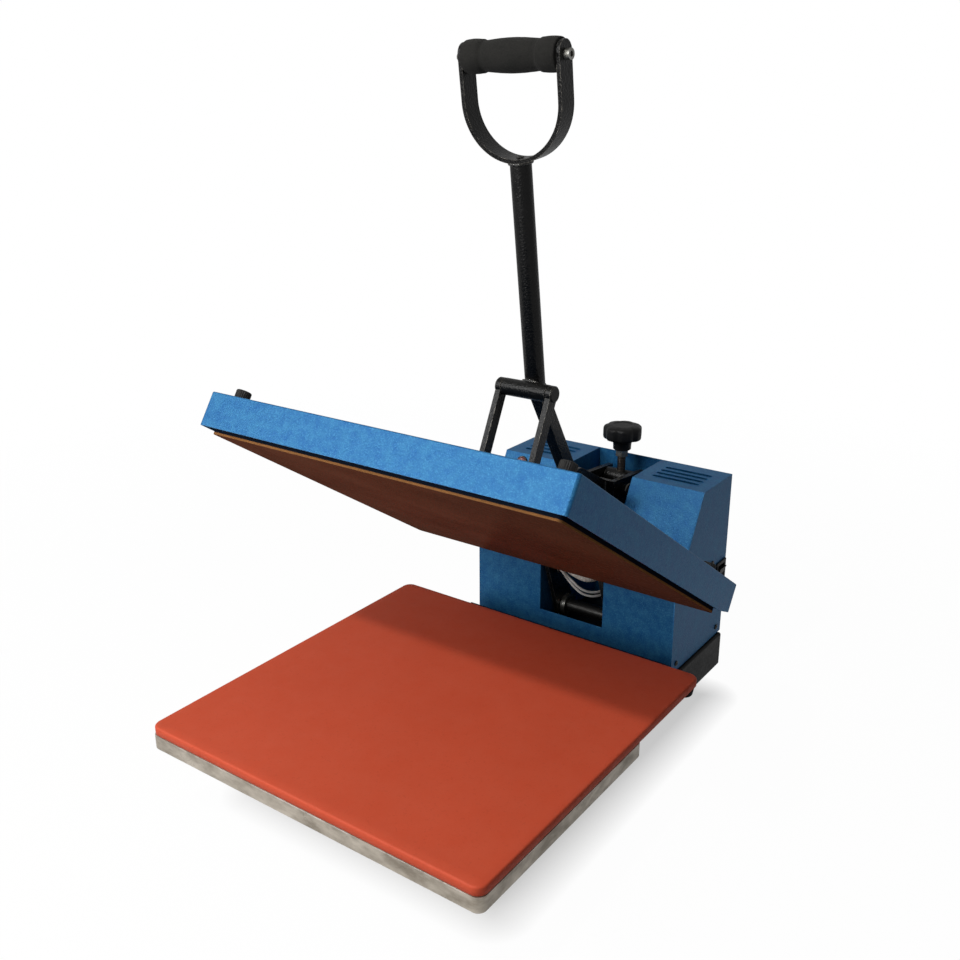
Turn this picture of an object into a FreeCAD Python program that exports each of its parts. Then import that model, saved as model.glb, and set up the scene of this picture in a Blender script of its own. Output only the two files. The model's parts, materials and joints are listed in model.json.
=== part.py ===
import FreeCAD, Part
import math
import os

# A clamshell heat press, 380 mm square, shown open.
# Millimetres. While it is built, X is the operator's right, Y points to the back, Z is up,
# and the origin is the middle of the silicone pad's top face. The export moves the whole
# press so that its origin is the middle of the footprint, on the bench.

# Silicone pad and the lower platen under it
pad_width = 380.0
pad_depth = 380.0
pad_thickness = 9.3
pad_corner = 10.0
plate_thickness = 14.7
pad_overhang = 123.0
plate_corner = 8.0
plate_edge_round = 0.8
carrier_half_width = 150.0
carrier_sheet = 3.0

# Base frame: two side rails, cross tubes, feet
rail_half_span = 133.0
rail_width = 25.0
rail_height = 42.4
rail_top_z = -51.0
rail_wall = 2.0
rail_edge_radius = 2.5
rail_front_inset = 75.0
rail_back_y = 379.6
foot_diameter = 26.0
foot_height = 10.0
foot_inset = 15.0
rear_foot_inset = 70.0
cross_tube_depth = 30.0
cross_tube_wall = 2.0
cross_tube_front_inset = 80.0
cross_tube_overhang = 3.0
rear_tube_depth = 24.0
rear_tube_pitch = 55.0
stop_bar_top_z = -30.0
stop_bar_back_y = 240.0
stop_bar_depth = 16.0
plate_bolt_radius = 4.0
plate_bolt_half_span = 90.0

# Blue sheet housing at the back, two towers with a channel between them
housing_front_y = 252.2
housing_back_y = 384.0
housing_half_width = 129.6
housing_top_z = 147.7
housing_bottom_z = -50.0
slope_foot_z = 41.6
slope_top_y = 309.8
channel_half_width = 41.6
opening_sill_z = -18.0
sheet = 1.6
vent_length = 56.0
vent_width = 4.6
vent_pitch = 11.0
vent_front_y = 329.0
vents_per_tower = 4
louvre_length = 60.0
louvre_width = 4.0
louvre_pitch = 12.0
louvre_count = 6
screw_radius = 3.2
side_screw_high = (345.0, 51.0)

# Inner steelwork: base plate, uprights, hinge shaft, thrust bracket
base_plate_thickness = 6.0
upright_thickness = 6.0
upright_top_z = 140.0
hinge_y = 295.1
hinge_z = -25.4
shaft_radius = 8.0
shaft_end = 1.5
collar_radius = 13.0
collar_width = 6.0
running_gap = 0.05
fit_gap = 0.05
flat_gap = 0.3
panel_gap = 0.1

# Upper platen, drawn closed and then swung open about the hinge shaft
open_angle = 33.48
closed_gap = 0.4
cover_half_width = 197.8
cover_depth = 389.8
cover_hinge_gap = 96.3
cover_top_z = 37.8
cover_skirt = 33.3
cover_sheet = 1.5
cover_corner = 3.0
rear_chamfer_length = 26.0
rear_chamfer_height = 3.4
heater_side_gap = 8.8
heater_front_inset = 10.0
heater_back_inset = 19.8
heater_thickness = 16.0
heater_corner = 4.0
element_radius = 4.0
element_side_inset = 21.0
element_runs = 8
element_front_inset = 51.0
element_back_inset = 49.0
insulation_thickness = 12.0
insulation_inset = 4.0
probe_back_inset = 73.0
cap_side_inset = 21.8
cap_inset = 17.7
cap_radius = 7.5
cap_height = 9.7
cap_screw_radius = 3.0

# Arms that carry the upper platen, and the springs that hold it open
arm_inner_x = 33.0
arm_thickness = 5.0
arm_front_y = -60.0
arm_eye_radius = 16.0
bush_wall = 2.0
spring_stud_y = 250.0
spring_stud_z = 9.6
spring_stud_radius = 4.0
spring_lane_x = 29.5
spring_wire_radius = 1.1
spring_coil_radius = 4.0
spring_coil_pitch = 2.9
spring_coil_count = 22

# Toggle: link feet on the arms, links, cross tube, lever
link_foot_y = 24.0
link_foot_z = 53.5
link_length = 96.0
link_inner_x = 26.5
link_thickness = 6.0
link_width = 13.0
link_eye_radius = 8.6
link_bolt_head = 1.2
link_pin_radius = 4.0
lug_radius = 9.0
lever_pivot_y = 242.0
lever_pivot_z = 159.4
lever_pin_radius = 5.0
lever_arm_thickness = 14.0
lever_arm_width = 15.0
lever_eye_radius = 11.0
cross_tube_radius = 8.75
cross_tube_half_length = 25.9
cross_tube_bore = 5.0
shaft_offset = 15.8
shaft_lean = 8.04
lever_shaft_radius = 10.2
lever_shaft_wall = 2.0
lever_shaft_length = 218.0
strap_half_width = 53.7
strap_width = 20.5
strap_thickness = 4.0
strap_end_rise = 2.2
grip_height = 309.5
grip_end_radius = 14.9
grip_neck_radius = 13.2
grip_belly_radius = 14.9
grip_collar_length = 19.0
grip_bolt_radius = 3.0
grip_nut_radius = 5.5
grip_nut_height = 3.2
grip_head_radius = 5.0
grip_head_height = 5.8
grip_socket_radius = 2.6
grip_socket_depth = 3.0
strap_screw_radius = 2.95
strap_head_radius = 4.0

# Pressure adjuster: yoke, trunnion, screw, knob
yoke_pivot_y = 325.0
yoke_pivot_z = 124.0
yoke_pin_radius = 6.0
yoke_inner_x = 18.0
yoke_plate = 6.0
yoke_front_y = 300.0
yoke_cross_plate = 5.0
yoke_ear_inner_x = 7.5
yoke_ear_thickness = 5.0
screw_y = 361.0
screw_rod_radius = 5.0
trunnion_radius = 10.0
trunnion_stub_radius = 6.0
jam_nut_across_flats = 14.0
jam_nut_height = 8.0
jam_nut_z = 151.5
hub_radius = 11.5
knob_radius = 22.8
knob_lobes = 7
knob_scallop = 6.5
knob_head_z = 172.0
knob_head_height = 18.0
knob_dome_radius = 64.0
thrust_bracket_z = 36.0
thrust_bracket_height = 12.0
thrust_bracket_depth = 26.0
screw_shoulder_radius = 9.0
screw_shoulder_height = 7.0

# Controls
controller_width = 72.0
controller_height = 76.0
controller_proud = 3.5
controller_depth = 34.0
controller_down = 74.0
controller_corner = 4.0
display_width = 52.0
display_height = 26.0
display_up = 16.0
button_width = 10.0
button_height = 8.0
button_pitch = 18.0
button_down = 19.0
button_proud = 1.8
button_travel = 1.2
button_well_depth = 6.0
button_clearance = 0.35
lamp_x = -104.0
lamp_down = 11.0
lamp_radius = 7.5
switch_y = 369.0
switch_z = 29.0
switch_width = 21.0
switch_height = 30.0
switch_wall = 2.2
switch_rim = 1.8
rocker_clearance = 0.35
rocker_tilt = 9.0
rocker_pivot_depth = 5.0
rocker_face = 8.2
rocker_pin_radius = 1.5
sink_x = 62.0
sink_fins = 6
sink_fin_pitch = 8.0
sink_base = 5.0
sink_height = 16.0
sink_front_y = 300.0
sink_length = 50.0
relay_height = 24.0
inlet_x = 85.0
inlet_width = 27.6
inlet_height = 20.4
inlet_z = -5.0

# Heater leads: a sleeved supply lead and two thin sensor leads, into the right tower
gland_x = -20.0
gland_radius = 9.0
gland_spigot_radius = 6.4
gland_length = 13.0
gland_rise = 12.5
sleeve_radius = 5.4
lead_radius = 1.5
lead_start_radius = 7.4
lead_spread = 2.4
sleeve_exit_y = 306.0
sleeve_exit_z = 36.0
leads_exit_y = 307.0
leads_exit_z = 8.0
leads_pitch = 5.0

bench_z = rail_top_z - rail_height - foot_height
button_well_floor = controller_proud - button_well_depth
pad_front_y = -pad_depth / 2
plate_depth = pad_depth - pad_overhang
rail_front_y = pad_front_y + rail_front_inset
cross_tube_front_y = pad_front_y + cross_tube_front_inset
cross_tube_pitch = (plate_depth + cross_tube_overhang - cross_tube_front_inset - cross_tube_depth) / 2
to_footprint = FreeCAD.Vector(0, -(pad_front_y + housing_back_y) / 2, -bench_z)
hinge = (hinge_y, hinge_z)
tower_middle_x = (channel_half_width + housing_half_width) / 2
slope_length = math.hypot(slope_top_y - housing_front_y, housing_top_z - slope_foot_z)
slope_tilt = math.degrees(math.atan2(housing_top_z - slope_foot_z, slope_top_y - housing_front_y))
base_plate_top_z = rail_top_z + base_plate_thickness
inner_wall_outer_x = channel_half_width + sheet
upright_inner_x = inner_wall_outer_x + panel_gap
upright_outer_x = upright_inner_x + upright_thickness
cover_bottom_z = cover_top_z - cover_skirt
cover_back_y = hinge_y - cover_hinge_gap
cover_front_y = cover_back_y - cover_depth
heater_half_width = cover_half_width - heater_side_gap
heater_front_y = cover_front_y + heater_front_inset
heater_back_y = cover_back_y - heater_back_inset
probe_y = heater_back_y - probe_back_inset
element_pitch = 2 * (heater_half_width - element_side_inset) / (element_runs - 1)
element_front_y = heater_front_y + element_front_inset
element_back_y = heater_back_y - element_back_inset
cap_x = cover_half_width - cap_side_inset
heater_top_z = closed_gap + heater_thickness
arm_outer_x = arm_inner_x + arm_thickness
link_outer_x = link_inner_x + link_thickness
thrust_bracket_top_z = thrust_bracket_z + thrust_bracket_height


def vec(x, y, z):
    return FreeCAD.Vector(x, y, z)


def box(x0, x1, y0, y1, z0, z1):
    return Part.makeBox(x1 - x0, y1 - y0, z1 - z0, vec(x0, y0, z0))


def cylinder_x(radius, x0, x1, y, z):
    return Part.makeCylinder(radius, x1 - x0, vec(x0, y, z), vec(1, 0, 0))


def cylinder_y(radius, y0, y1, x, z):
    return Part.makeCylinder(radius, y1 - y0, vec(x, y0, z), vec(0, 1, 0))


def cylinder_z(radius, z0, z1, x, y):
    return Part.makeCylinder(radius, z1 - z0, vec(x, y, z0), vec(0, 0, 1))


def profile_x(points, x0, x1):
    """A flat outline of (y, z) points made x1 - x0 thick."""
    loop = [vec(x0, y, z) for y, z in points]
    face = Part.Face(Part.makePolygon(loop + loop[:1]))
    return face.extrude(vec(x1 - x0, 0, 0))


def bar_between(start, end, width, x0, x1):
    """A straight bar of the given width from one (y, z) point to another."""
    length = math.hypot(end[0] - start[0], end[1] - start[1])
    across_y = -(end[1] - start[1]) / length * width / 2
    across_z = (end[0] - start[0]) / length * width / 2
    corners = [(start[0] + across_y, start[1] + across_z), (end[0] + across_y, end[1] + across_z)]
    corners += [(end[0] - across_y, end[1] - across_z), (start[0] - across_y, start[1] - across_z)]
    return profile_x(corners, x0, x1)


def round_upright_edges(shape, radius):
    edges = [e for e in shape.Edges if abs(e.tangentAt(e.FirstParameter).z) > 0.999]
    return shape.makeFillet(radius, edges)


def slot_along_x(length, width, x, y, z0, z1):
    half = length / 2 - width / 2
    middle = box(x - half, x + half, y - width / 2, y + width / 2, z0, z1)
    ends = [cylinder_z(width / 2, z0, z1, x + side * half, y) for side in (-1, 1)]
    return middle.multiFuse(ends)


def mirrored(shape):
    return shape.mirror(vec(0, 0, 0), vec(1, 0, 0))


def both_sides(shape):
    return [shape, mirrored(shape)]


def rounded_edges(shape, radius, keep):
    edges = [e for e in shape.Edges if keep(e.CenterOfMass)]
    return shape.makeFillet(radius, edges)


def rounded_rims(shape, radius, x):
    """Rounds the circular rims that lie in the plane at x."""
    rims = [e for e in shape.Edges if abs(e.CenterOfMass.x - x) < 0.01 and len(e.Vertexes) == 1]
    return shape.makeFillet(radius, rims)


def swung_open(shape):
    """Turns a shape from the closed press to the open one."""
    turned = shape.copy()
    turned.rotate(vec(0, hinge_y, hinge_z), vec(1, 0, 0), -open_angle)
    return turned


def open_point(y, z):
    angle = math.radians(open_angle)
    dy = y - hinge_y
    dz = z - hinge_z
    return (hinge_y + dy * math.cos(angle) + dz * math.sin(angle),
            hinge_z - dy * math.sin(angle) + dz * math.cos(angle))


def on_slope(shape, x, down):
    """Sets a shape drawn flat, face up, onto a tower's slanted front."""
    placed = shape.copy()
    placed.rotate(vec(0, 0, 0), vec(1, 0, 0), slope_tilt)
    share = down / slope_length
    y = slope_top_y - (slope_top_y - housing_front_y) * share
    z = housing_top_z - (housing_top_z - slope_foot_z) * share
    placed.translate(vec(x, y, z))
    return placed


def save(name, shapes):
    group = Part.makeCompound(shapes) if isinstance(shapes, list) else shapes.copy()
    group.translate(to_footprint)
    solids = len(group.Solids)
    if solids == 0 or not group.isValid():
        print("CHECK", name, "solids", solids, "valid", group.isValid())
    group.exportStep(os.path.join("parts", name + ".step"))


def toggle_crank():
    """Length of the lever's crank: with the press shut, crank and link lie in one line."""
    reach = math.hypot(lever_pivot_y - link_foot_y, lever_pivot_z - link_foot_z)
    return reach - link_length


def circles_meet(first, first_radius, second, second_radius):
    """The upper point that lies at both radii from the two centres."""
    dy = second[0] - first[0]
    dz = second[1] - first[1]
    apart = math.hypot(dy, dz)
    along = (first_radius ** 2 - second_radius ** 2 + apart ** 2) / (2 * apart)
    off = math.sqrt(first_radius ** 2 - along ** 2)
    middle = (first[0] + dy * along / apart, first[1] + dz * along / apart)
    choices = [(middle[0] - side * dz * off / apart, middle[1] + side * dy * off / apart) for side in (-1, 1)]
    return max(choices, key=lambda point: point[1])


lever_pivot = (lever_pivot_y, lever_pivot_z)
link_foot = open_point(link_foot_y, link_foot_z)
crank_end = circles_meet(link_foot, link_length, lever_pivot, toggle_crank())
lean = math.radians(shaft_lean)
shaft_foot = (crank_end[0] + shaft_offset * math.cos(lean), crank_end[1] + shaft_offset * math.sin(lean))


def on_lever(shape):
    """Sets a shape drawn upright, on the shaft's own axis, onto the leaning shaft."""
    placed = shape.copy()
    placed.rotate(vec(0, 0, 0), vec(1, 0, 0), shaft_lean)
    placed.translate(vec(0, shaft_foot[0], shaft_foot[1]))
    return placed


# Lower platen and base frame

def make_silicone_pad():
    half = pad_width / 2
    pad = box(-half, half, pad_front_y, pad_front_y + pad_depth, -pad_thickness, 0)
    pad = round_upright_edges(pad, pad_corner)
    return rounded_edges(pad, 1.2, lambda c: abs(c.z) < 0.01)


def make_lower_platen():
    half = pad_width / 2
    top = -pad_thickness
    plate = box(-half, half, pad_front_y, pad_front_y + plate_depth, top - plate_thickness, top)
    plate = round_upright_edges(plate, plate_corner)
    plate = rounded_edges(plate, plate_edge_round, lambda c: abs(c.z - top + plate_thickness) < 0.01)
    for x, y in plate_bolt_places():
        plate = plate.cut(cylinder_z(plate_bolt_radius, top - plate_thickness - 1, top - 4, x, y))
    return plate


def plate_bolt_places():
    rows = [cross_tube_y(0), cross_tube_y(2)]
    return [(side * plate_bolt_half_span, y) for side in (-1, 1) for y in rows]


def cross_tube_y(index):
    return cross_tube_front_y + cross_tube_depth / 2 + index * cross_tube_pitch


def hollow_tube_x(half_length, y, depth, z0, z1, wall):
    half = depth / 2
    outer = box(-half_length, half_length, y - half, y + half, z0, z1)
    inner = box(-half_length - 1, half_length + 1, y - half + wall, y + half - wall, z0 + wall, z1 - wall)
    return outer.cut(inner)


def make_plate_cross_tubes():
    tubes = []
    for index in range(3):
        tube = hollow_tube_x(rail_half_span, cross_tube_y(index), cross_tube_depth,
                             rail_top_z, -pad_thickness - plate_thickness, cross_tube_wall)
        for x, y in plate_bolt_places():
            tube = tube.cut(cylinder_z(plate_bolt_radius + 0.5, rail_top_z - 1, 0, x, y))
        tubes.append(tube)
    return tubes


def make_plate_bolts():
    head_radius = plate_bolt_radius * 1.6
    bolts = []
    for x, y in plate_bolt_places():
        shank = cylinder_z(plate_bolt_radius - fit_gap, rail_top_z, -pad_thickness - 5, x, y)
        head = cylinder_z(head_radius, rail_top_z - plate_bolt_radius, rail_top_z, x, y)
        bolts.append(shank.fuse(head))
    return bolts


def make_carrier_tubes():
    first = pad_front_y + plate_depth + 25
    tubes = []
    for index in range(2):
        tubes.append(hollow_tube_x(rail_half_span, first + index * rear_tube_pitch, rear_tube_depth,
                                   rail_top_z, -pad_thickness - carrier_sheet, cross_tube_wall))
    return tubes


def make_carrier_plate():
    front = pad_front_y + plate_depth + panel_gap
    back = pad_front_y + pad_depth - 2
    z0 = -pad_thickness - carrier_sheet
    return box(-carrier_half_width, carrier_half_width, front, back, z0, -pad_thickness)


def make_stop_bar():
    front = stop_bar_back_y - stop_bar_depth
    middle = (front + stop_bar_back_y) / 2
    return hollow_tube_x(rail_half_span, middle, stop_bar_depth, rail_top_z, stop_bar_top_z, rail_wall)


def make_rail(side):
    outer = side * rail_half_span
    inner = side * (rail_half_span - rail_width)
    x0 = min(outer, inner)
    x1 = max(outer, inner)
    bottom = rail_top_z - rail_height
    rail = box(x0, x1, rail_front_y, rail_back_y, bottom, rail_top_z)
    mid_x = (x0 + x1) / 2
    mid_z = (bottom + rail_top_z) / 2
    rail = rounded_edges(rail, rail_edge_radius, lambda c: abs(c.x - mid_x) > 1 and abs(c.z - mid_z) > 1)
    bore = box(x0 + rail_wall, x1 - rail_wall, rail_front_y + rail_wall, rail_back_y - rail_wall,
               bottom + rail_wall, rail_top_z - rail_wall)
    return rail.cut(bore)


def foot_places():
    x = rail_half_span - rail_width / 2
    rows = (rail_front_y + foot_inset, rail_back_y - rear_foot_inset)
    return [(side * x, y) for side in (-1, 1) for y in rows]


def make_feet():
    feet = []
    for x, y in foot_places():
        radius = foot_diameter / 2
        foot = Part.makeCone(radius - 2, radius, foot_height, vec(x, y, bench_z))
        recess = cylinder_z(radius / 2, bench_z - 1, bench_z + 4, x, y)
        feet.append(foot.cut(recess))
    return feet


# Housing sheets

def tower_profile(inset, bottom):
    """Side outline of the housing, set in from the outer face by a sheet or a gap."""
    lean_y = slope_top_y - housing_front_y
    lean_z = housing_top_z - slope_foot_z
    foot = slope_foot_z - inset * (slope_length - lean_y) / lean_z
    top_y = slope_top_y + inset * (slope_length - lean_z) / lean_y
    front = housing_front_y + inset
    back = housing_back_y - inset
    top = housing_top_z - inset
    return [(front, bottom), (front, foot), (top_y, top), (back, top), (back, bottom)]


def make_side_panel(side):
    x0 = housing_half_width - sheet
    panel = profile_x(tower_profile(0, housing_bottom_z), x0, housing_half_width)
    if side > 0:
        half_y = switch_width / 2
        half_z = switch_height / 2
        panel = panel.cut(box(x0 - 1, housing_half_width + 1, switch_y - half_y, switch_y + half_y,
                              switch_z - half_z, switch_z + half_z))
    for y, z in side_screw_places():
        panel = panel.cut(cylinder_x(screw_radius / 2, x0 - 1, housing_half_width + 1, y, z))
    return panel if side > 0 else mirrored(panel)


def side_screw_places():
    low = housing_bottom_z + 10
    return [side_screw_high, (housing_front_y + 12, low), (housing_back_y - 14, low)]


def make_front_apron():
    half = housing_half_width - sheet
    foot = tower_profile(sheet, 0)[1][1]
    apron = box(-half, half, housing_front_y, housing_front_y + sheet, housing_bottom_z, foot)
    mouth = box(-channel_half_width, channel_half_width, housing_front_y - 1, housing_front_y + sheet + 1,
                opening_sill_z, slope_foot_z + 1)
    return apron.cut(mouth)


def make_tower_cover(side):
    outer = tower_profile(0, housing_bottom_z)
    inner = tower_profile(sheet, housing_bottom_z)
    foot_z = inner[1][1]
    back = housing_back_y - sheet
    points = [(housing_front_y, foot_z), outer[1], outer[2], (back, housing_top_z)]
    points += [(back, housing_top_z - sheet), inner[2], inner[1]]
    cover = profile_x(points, channel_half_width, housing_half_width - sheet)
    for index in range(vents_per_tower):
        y = vent_front_y + index * vent_pitch
        cover = cover.cut(slot_along_x(vent_length, vent_width, tower_middle_x, y,
                                       housing_top_z - sheet - 1, housing_top_z + 1))
    if side > 0:
        return cover
    cover = mirrored(cover)
    half_x = controller_width / 2 - 2.5
    half_y = controller_height / 2 - 2.5
    window = box(-half_x, half_x, -half_y, half_y, -2 * sheet, 2)
    cover = cover.cut(on_slope(window, -tower_middle_x, controller_down))
    return cover.cut(on_slope(cylinder_z(lamp_radius - 1.5, -2 * sheet, 2, 0, 0), lamp_x, lamp_down))


def make_inner_wall(side):
    outline = tower_profile(sheet + panel_gap, base_plate_top_z)
    wall = profile_x(outline, channel_half_width, inner_wall_outer_x)
    wall = wall.cut(cylinder_x(shaft_radius + 1, channel_half_width - 1, inner_wall_outer_x + 1, *hinge))
    wall = wall.cut(cylinder_x(yoke_pin_radius + 1.5, channel_half_width - 1, inner_wall_outer_x + 1,
                               yoke_pivot_y, yoke_pivot_z))
    return cut_lead_holes(wall, channel_half_width, inner_wall_outer_x) if side > 0 else mirrored(wall)


def inlet_box(grow, y0, y1):
    half_x = inlet_width / 2 + grow
    half_z = inlet_height / 2 + grow
    return box(inlet_x - half_x, inlet_x + half_x, y0, y1, inlet_z - half_z, inlet_z + half_z)


def rear_screw_places():
    x = housing_half_width - sheet - 8
    return [(side * x, z) for side in (-1, 1) for z in (housing_bottom_z + 10, housing_top_z - 12)]


def make_rear_panel():
    half = housing_half_width - sheet
    panel = box(-half, half, housing_back_y - sheet, housing_back_y, housing_bottom_z, housing_top_z)
    panel = panel.cut(inlet_box(0.2, housing_back_y - sheet - 1, housing_back_y + 1))
    for side in (-1, 1):
        for index in range(louvre_count):
            flat = slot_along_x(louvre_length, louvre_width, 0, 0, -2 * sheet, 2 * sheet)
            flat.rotate(vec(0, 0, 0), vec(1, 0, 0), 90)
            flat.translate(vec(side * tower_middle_x, housing_back_y, 45 + index * louvre_pitch))
            panel = panel.cut(flat)
    for x, z in rear_screw_places():
        panel = panel.cut(cylinder_y(screw_radius / 2, housing_back_y - sheet - 1, housing_back_y + 1, x, z))
    return panel


def make_panel_screws():
    """Low button heads, sunk flush into the back so that the rear face stays the rearmost."""
    screws = []
    for y, z in side_screw_places():
        x = housing_half_width
        head = cylinder_x(screw_radius, x, x + 1.4, y, z)
        shank = cylinder_x(screw_radius / 2 - fit_gap, x - 6, x, y, z)
        screws += both_sides(head.fuse(shank))
    for x, z in rear_screw_places():
        shank = cylinder_y(screw_radius / 2 - fit_gap, housing_back_y - 7, housing_back_y, x, z)
        screws.append(shank)
    return screws


# Inner steelwork

def make_base_plate():
    half = housing_half_width - sheet - flat_gap
    return box(-half, half, housing_front_y + sheet + flat_gap, housing_back_y - sheet - flat_gap,
               rail_top_z, base_plate_top_z)


def make_upright(side):
    z0 = base_plate_top_z
    outline = [(hinge_y - 30, z0), (screw_y + 17, z0), (screw_y + 17, thrust_bracket_top_z + 20)]
    outline += [(yoke_pivot_y + 18, upright_top_z), (yoke_pivot_y - 8, upright_top_z)]
    outline.append((hinge_y - 30, hinge_z + 20))
    plate = profile_x(outline, upright_inner_x, upright_outer_x)
    plate = plate.cut(cylinder_x(shaft_radius, upright_inner_x - 1, upright_outer_x + 1, *hinge))
    plate = plate.cut(cylinder_x(yoke_pin_radius + running_gap, upright_inner_x - 1, upright_outer_x + 1,
                                 yoke_pivot_y, yoke_pivot_z))
    return cut_lead_holes(plate, upright_inner_x, upright_outer_x) if side > 0 else mirrored(plate)


def make_hinge_shaft():
    half = upright_outer_x + panel_gap + collar_width + shaft_end
    shaft = cylinder_x(shaft_radius, -half, half, *hinge)
    return shaft.makeChamfer(1.0, [e for e in shaft.Edges if len(e.Vertexes) == 1])


def make_shaft_collars():
    """One pair beside the arms, one pair outside the uprights."""
    places = [arm_inner_x - flat_gap - collar_width, upright_outer_x + panel_gap]
    collars = []
    for x in places:
        ring = cylinder_x(collar_radius, x, x + collar_width, *hinge)
        ring = ring.cut(cylinder_x(shaft_radius, x - 1, x + collar_width + 1, *hinge))
        ring = ring.cut(cylinder_z(2.0, hinge_z + shaft_radius + 1.5, hinge_z + collar_radius + 1,
                                   x + collar_width / 2, hinge_y))
        collars += both_sides(ring)
    return collars


def make_thrust_bracket():
    half = channel_half_width - panel_gap
    bar = box(-half, half, screw_y - thrust_bracket_depth / 2, screw_y + thrust_bracket_depth / 2 - 6,
              thrust_bracket_z, thrust_bracket_top_z)
    bore = screw_rod_radius + running_gap
    return bar.cut(cylinder_z(bore, thrust_bracket_z - 1, thrust_bracket_top_z + 1, 0, screw_y))


# Upper platen, drawn closed

def make_cover():
    outer = box(-cover_half_width, cover_half_width, cover_front_y, cover_back_y, cover_bottom_z, cover_top_z)
    outer = round_upright_edges(outer, cover_corner)
    outer = rounded_edges(outer, 1.4, lambda c: abs(c.z - cover_top_z) < 0.01)
    half = cover_half_width - cover_sheet
    inner = box(-half, half, cover_front_y + cover_sheet, cover_back_y - cover_sheet,
                cover_bottom_z - 1, cover_top_z - cover_sheet)
    inner = round_upright_edges(inner, cover_corner - cover_sheet + 0.2)
    shell = outer.cut(inner)
    low = cover_bottom_z
    high = cover_bottom_z + rear_chamfer_height
    start = cover_back_y - rear_chamfer_length
    wedge = [(start, low - 1), (cover_back_y + 1, low - 1), (cover_back_y + 1, high)]
    wedge += [(cover_back_y, high), (start, low)]
    shell = shell.cut(profile_x(wedge, -cover_half_width - 1, cover_half_width + 1))
    for side in (-1, 1):
        x0 = min(side * (arm_inner_x - 1), side * (arm_outer_x + 1))
        x1 = max(side * (arm_inner_x - 1), side * (arm_outer_x + 1))
        lug = box(x0, x1, link_foot_y - 22, link_foot_y + 22, cover_top_z - 5, cover_top_z + 1)
        back = box(x0, x1, cover_back_y - 3, cover_back_y + 1, cover_bottom_z - 1, cover_top_z - cover_sheet)
        shell = shell.cut(lug).cut(back)
    for x, y in cap_places():
        shell = shell.cut(cylinder_z(cap_screw_radius + 0.3, cover_top_z - 5, cover_top_z + 1, x, y))
    back, rise = gland_place()
    return shell.cut(cylinder_y(gland_spigot_radius + panel_gap, back - 3, back + 1, gland_x, rise))


def cap_places():
    rows = (cover_front_y + cap_inset, cover_back_y - 2 * cap_inset)
    return [(side * cap_x, y) for side in (-1, 1) for y in rows]


def make_cover_caps():
    caps = []
    for x, y in cap_places():
        head = cylinder_z(cap_radius, cover_top_z, cover_top_z + cap_height, x, y)
        head = rounded_edges(head, 1.0, lambda c: abs(c.z - cover_top_z - cap_height) < 0.01)
        shank = cylinder_z(cap_screw_radius, heater_top_z - 9, cover_top_z, x, y)
        caps.append(head.fuse(shank))
    return caps


def element_x(index):
    return (index - (element_runs - 1) / 2) * element_pitch


def element_path():
    """A flat serpentine: straight runs joined by half turns, with both ends at the back."""
    radius = element_pitch / 2
    z = heater_top_z - element_radius - 1.0
    edges = []
    end = 1
    for index in range(element_runs):
        x = element_x(index)
        low = element_front_y
        high = element_back_y + (18 if index in (0, element_runs - 1) else 0)
        if index == 0:
            edges.append(Part.makeLine(vec(x, high, z), vec(x, low, z)))
        elif index == element_runs - 1:
            edges.append(Part.makeLine(vec(x, low, z), vec(x, high, z)))
        elif end < 0:
            edges.append(Part.makeLine(vec(x, low, z), vec(x, element_back_y, z)))
        else:
            edges.append(Part.makeLine(vec(x, element_back_y, z), vec(x, low, z)))
        if index < element_runs - 1:
            end = -1 if index % 2 == 0 else 1
            y = element_back_y if end > 0 else element_front_y
            turn = Part.Arc(vec(x, y, z), vec(x + radius, y + end * radius, z), vec(x + element_pitch, y, z))
            edges.append(turn.toShape())
    return Part.Wire(edges)


def sweep_round(path, radius):
    start = path.Edges[0]
    tangent = start.tangentAt(start.FirstParameter)
    first = start.valueAt(start.FirstParameter)
    ring = Part.Wire([Part.makeCircle(radius, first, tangent)])
    return path.makePipeShell([ring], True, False)


def make_heating_element():
    return sweep_round(element_path(), element_radius)


def make_heating_platen():
    half = heater_half_width
    plate = box(-half, half, heater_front_y, heater_back_y, closed_gap, heater_top_z)
    plate = round_upright_edges(plate, heater_corner)
    plate = rounded_edges(plate, 0.8, lambda c: abs(c.z - closed_gap) < 0.01)
    groove = element_radius + 0.3
    z0 = heater_top_z - 2 * element_radius - 1.4
    cutters = []
    for index in range(element_runs):
        x = element_x(index)
        high = element_back_y + (18.5 if index in (0, element_runs - 1) else 0)
        cutters.append(box(x - groove, x + groove, element_front_y, high, z0, heater_top_z + 1))
        if index < element_runs - 1:
            cutters.append(groove_turn(x + element_pitch / 2, -1 if index % 2 == 0 else 1, groove, z0))
    for x, y in cap_places():
        cutters.append(cylinder_z(cap_screw_radius, heater_top_z - 10, heater_top_z + 1, x, y))
    for cutter in cutters:
        plate = plate.cut(cutter)
    return plate


def groove_turn(x, end, groove, z0):
    radius = element_pitch / 2
    y = element_back_y if end > 0 else element_front_y
    ring = cylinder_z(radius + groove, z0, heater_top_z + 1, x, y)
    ring = ring.cut(cylinder_z(radius - groove, z0 - 1, heater_top_z + 2, x, y))
    reach = radius + groove + 1
    y0 = y if end > 0 else y - reach
    return ring.common(box(x - reach, x + reach, y0, y0 + reach, z0, heater_top_z + 1))


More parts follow.
